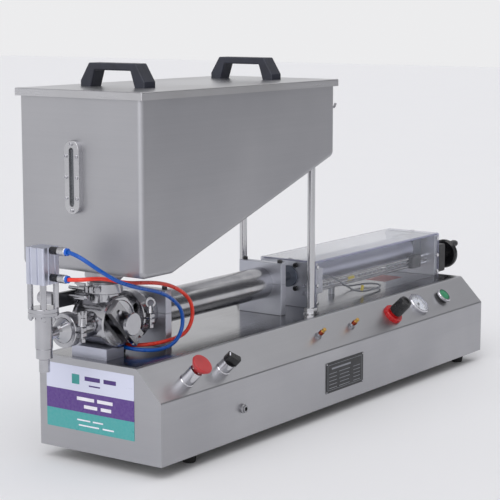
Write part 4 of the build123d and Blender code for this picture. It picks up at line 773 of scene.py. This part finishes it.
def lathe(bm, place, outline, steps=48):
    """A turned shape about the place's own Z, from (radius, height) in millimetres."""
    loops = []
    for radius, height in outline:
        if radius == 0:
            loops.append([bm.verts.new(place @ Vector((0, 0, height * MM)))])
            continue
        ring = []
        for index in range(steps):
            angle = 2 * math.pi * index / steps
            ring.append(bm.verts.new(place @ Vector((
                radius * MM * math.cos(angle), radius * MM * math.sin(angle), height * MM))))
        loops.append(ring)
    for one, two in zip(loops, loops[1:]):
        for index in range(steps):
            after = (index + 1) % steps
            if len(one) == 1:
                bm.faces.new((one[0], two[after], two[index]))
            elif len(two) == 1:
                bm.faces.new((one[index], one[after], two[0]))
            else:
                bm.faces.new((one[index], one[after], two[after], two[index]))


gauge_dial = solid("gauge_dial", dial_enamel, "frame", lambda bm: lathe(
    bm, GAUGE, [(2.4, 1.0), (17.9, 1.0), (17.9, 1.35), (2.4, 1.35), (2.4, 1.0)]))


def arc_marks():
    """Small blocks round an arc, each turned to face its centre."""
    tree, entry, leave = new_tree("arc_marks", {
        "Count": ("Int", 10), "Radius": ("Float", 0.01), "Start": ("Float", 0.0),
        "Sweep": ("Float", 6.283), "Mark Size": ("Vector", (0.001, 0.001, 0.001)),
        "Material": ("Material", None)})
    arc = tree.nodes.new("GeometryNodeCurveArc")
    arc.mode = "RADIUS"
    arc.inputs["Resolution"].default_value = 128
    tree.links.new(entry.outputs["Radius"], arc.inputs["Radius"])
    tree.links.new(entry.outputs["Start"], arc.inputs["Start Angle"])
    tree.links.new(entry.outputs["Sweep"], arc.inputs["Sweep Angle"])
    points = tree.nodes.new("GeometryNodeCurveToPoints")
    points.mode = "COUNT"
    tree.links.new(arc.outputs["Curve"], points.inputs["Curve"])
    tree.links.new(entry.outputs["Count"], points.inputs["Count"])
    mark = tree.nodes.new("GeometryNodeMeshCube")
    tree.links.new(entry.outputs["Mark Size"], mark.inputs["Size"])
    place = tree.nodes.new("GeometryNodeInputPosition")
    turn = tree.nodes.new("FunctionNodeAlignRotationToVector")
    turn.axis = "X"
    tree.links.new(place.outputs[0], turn.inputs["Vector"])
    put = tree.nodes.new("GeometryNodeInstanceOnPoints")
    tree.links.new(points.outputs["Points"], put.inputs["Points"])
    tree.links.new(mark.outputs["Mesh"], put.inputs["Instance"])
    tree.links.new(turn.outputs[0], put.inputs["Rotation"])
    ending(tree, entry, leave, put.outputs[0])
    return tree


marks = arc_marks()
gauge_ticks = grow("gauge_ticks", marks, selector_black, "frame", on_panel(*GAUGE_PLACE, 1.4),
                   Count=27, Radius=0.0158, Start=math.radians(-45), Sweep=math.radians(270),
                   **{"Mark Size": (0.0022, 0.0005, 0.00016)})
gauge_numbers = grow("gauge_long_ticks", marks, selector_black, "frame", on_panel(*GAUGE_PLACE, 1.4),
                     Count=7, Radius=0.0148, Start=math.radians(-45), Sweep=math.radians(270),
                     **{"Mark Size": (0.0042, 0.0008, 0.00016)})
blue_scale = grow("gauge_inner_scale", marks, blue_tube, "frame", on_panel(*GAUGE_PLACE, 1.4),
                  Count=21, Radius=0.0105, Start=math.radians(-45), Sweep=math.radians(270),
                  **{"Mark Size": (0.0014, 0.0006, 0.00014)})
window_glass = finish("gauge_window", paint("f2f5fa"), 0.0, 0.04, IOR=1.45, Alpha=0.12)
into(window_glass, "Roughness", span(window_glass, cloud(window_glass, 60.0), 0.02, 0.08))
gauge_window = solid("gauge_window", window_glass, "frame", lambda bm: lathe(
    bm, GAUGE, [(0, 6.6), (9.0, 6.4), (18.2, 5.4), (18.2, 4.9), (9.0, 5.9), (0, 6.1)]))

# ---- Regulator and speed valves --------------------------------------------------------
# A pressure regulator with a fluted black knob over a notched red lock ring, and two
# needle valves: plated hexagon, copper-red knurled sleeve and brass tip.
def pneumatic_finish():
    """Plated steel on the needle valves, red plastic on the regulator's ring."""
    made = finish("plated_and_red_bodies", paint("bcbcc0"), 1.0, 0.28)
    where = add(made, "TexCoord").outputs["Object"]
    along = add(made, "SeparateXYZ", {"Vector": where}).outputs["X"]
    ring_from = spot(REGULATOR_SIDE, 0, 0).x
    ring = add(made, "Math", {0: along, 1: ring_from}, operation="GREATER_THAN").outputs[0]
    plated = between(made, span(made, cloud(made, 120.0), 0, 1), paint("c6c6ca"), paint("a9a9ae"))
    into(made, "Base Color", between(made, ring, plated, paint("b8181c")))
    into(made, "Metallic", span(made, ring, 1.0, 0.0, 0.0, 1.0))
    into(made, "Roughness", span(made, cloud(made, 220.0), 0.24, 0.36))
    rise(made, cloud(made, 600.0), 0.00001)
    return made


def sleeve_finish():
    """Copper-red anodised sleeve with a bare brass tip."""
    made = finish("copper_red_and_brass", paint("b0583f"), 1.0, 0.3)
    where = add(made, "TexCoord").outputs["Object"]
    outward = on_panel(0, 0).col[2].to_3d()
    level = on_panel(0, 0).translation.dot(outward)
    height = add(made, "VectorMath", {0: where, 1: tuple(outward)}, operation="DOT_PRODUCT").outputs["Value"]
    tip = add(made, "Math", {0: height, 1: level + 13.3 * MM}, operation="GREATER_THAN").outputs[0]
    copper = between(made, span(made, cloud(made, 200.0), 0, 1), paint("b45a42"), paint("9a4836"))
    into(made, "Base Color", between(made, tip, copper, paint("cfa65a")))
    into(made, "Roughness", span(made, cloud(made, 220.0), 0.24, 0.36))
    rise(made, cloud(made, 600.0), 0.00001)
    return made


dress(pneumatic_finish(), "pneumatic_bodies")
dress(selector_black, "regulator_knob")
copper_sleeve = sleeve_finish()
dress(copper_sleeve, "speed_knob_left", "speed_knob_right")
for side, along in zip(("left", "right"), SPEED_PLACES):
    ribs = grow(side + "_knob_ribs", marks, copper_sleeve, "speed_" + side, on_panel(along, SPEED_UP, 9.6),
                Count=16, Radius=0.0039, Start=0.0, Sweep=math.radians(337.5),
                **{"Mark Size": (0.0007, 0.0006, 0.0056)})
INLET_AXIS = (202.3, -118.0, 67.3)
inlet_metal = turned_steel("plated_air_socket", "a8a8ab", "8e8e92", 0.25, (0, 1, 0), INLET_AXIS, 300.0, 0.2)
dress(inlet_metal, "air_inlet")

# ---- Floor and light ---------------------------------------------------------------------
# A pale bench top under two very large soft lamps, with a plain pale surround.
floor_mesh = bpy.data.meshes.new("floor")
FLOOR = 14.0
floor_mesh.from_pydata([(-FLOOR, -FLOOR, 0), (FLOOR, -FLOOR, 0), (FLOOR, FLOOR, 0), (-FLOOR, FLOOR, 0)], [],
                       [(0, 1, 2, 3)])
pale_floor = finish("pale_floor", (0.86, 0.86, 0.87, 1.0), 0.0, 0.7)
into(pale_floor, "Roughness", span(pale_floor, cloud(pale_floor, 3.0), 0.65, 0.8))
floor_mesh.materials.append(pale_floor)
floor = bpy.data.objects.new("floor", floor_mesh)
bpy.context.collection.objects.link(floor)

world = bpy.data.worlds.new("surround")
bpy.context.scene.world = world
world.use_nodes = True
sky = world.node_tree
direction = sky.nodes.new("ShaderNodeTexCoord").outputs["Generated"]
parts = sky.nodes.new("ShaderNodeSeparateXYZ")
sky.links.new(direction, parts.inputs[0])
ramp = sky.nodes.new("ShaderNodeValToRGB")
sky.links.new(parts.outputs["Z"], ramp.inputs[0])
ramp.color_ramp.elements[0].position = 0.12
ramp.color_ramp.elements[0].color = (0.84, 0.84, 0.85, 1)
ramp.color_ramp.elements[1].position = 0.85
ramp.color_ramp.elements[1].color = (0.42, 0.42, 0.45, 1)
tone = ramp.outputs[0]
# dark flags and bright screens standing round the object, as (towards, from, to, tone)
SCREENS = (
    ((0.60, -0.79, 0.10), 0.50, 0.92, (0.10, 0.10, 0.11, 1)),
    ((-0.97, -0.22, 0.12), 0.80, 0.96, (1.9, 1.9, 1.95, 1)),
)
for towards, start, end, colour in SCREENS:
    near = sky.nodes.new("ShaderNodeVectorMath")
    near.operation = "DOT_PRODUCT"
    sky.links.new(direction, near.inputs[0])
    near.inputs[1].default_value = towards
    soft = sky.nodes.new("ShaderNodeMapRange")
    soft.interpolation_type = "SMOOTHSTEP"
    soft.inputs["From Min"].default_value = start
    soft.inputs["From Max"].default_value = end
    sky.links.new(near.outputs["Value"], soft.inputs["Value"])
    blend = sky.nodes.new("ShaderNodeMix")
    blend.data_type = "RGBA"
    sky.links.new(soft.outputs[0], blend.inputs["Factor"])
    sky.links.new(tone, blend.inputs[6])
    blend.inputs[7].default_value = colour
    tone = blend.outputs[2]
sky.links.new(tone, sky.nodes["Background"].inputs["Color"])


def soft_sun(name, place, strength, spread, tint=(1.0, 1.0, 1.0)):
    """Even light from one side, as from a very large far screen."""
    light = bpy.data.lights.new(name, "SUN")
    light.energy = strength
    light.angle = math.radians(spread)
    light.color = tint
    holder = bpy.data.objects.new(name, light)
    holder.location = place
    holder.rotation_euler = (-Vector(place)).to_track_quat("-Z", "Y").to_euler()
    bpy.context.collection.objects.link(holder)


soft_sun("high_left_screen", (-1.4, -0.3, 2.4), 1.0, 50.0)
soft_sun("high_right_screen", (1.2, -1.0, 2.6), 0.55, 60.0, (1.0, 1.0, 0.99))

bpy.context.scene.view_settings.view_transform = "Standard"
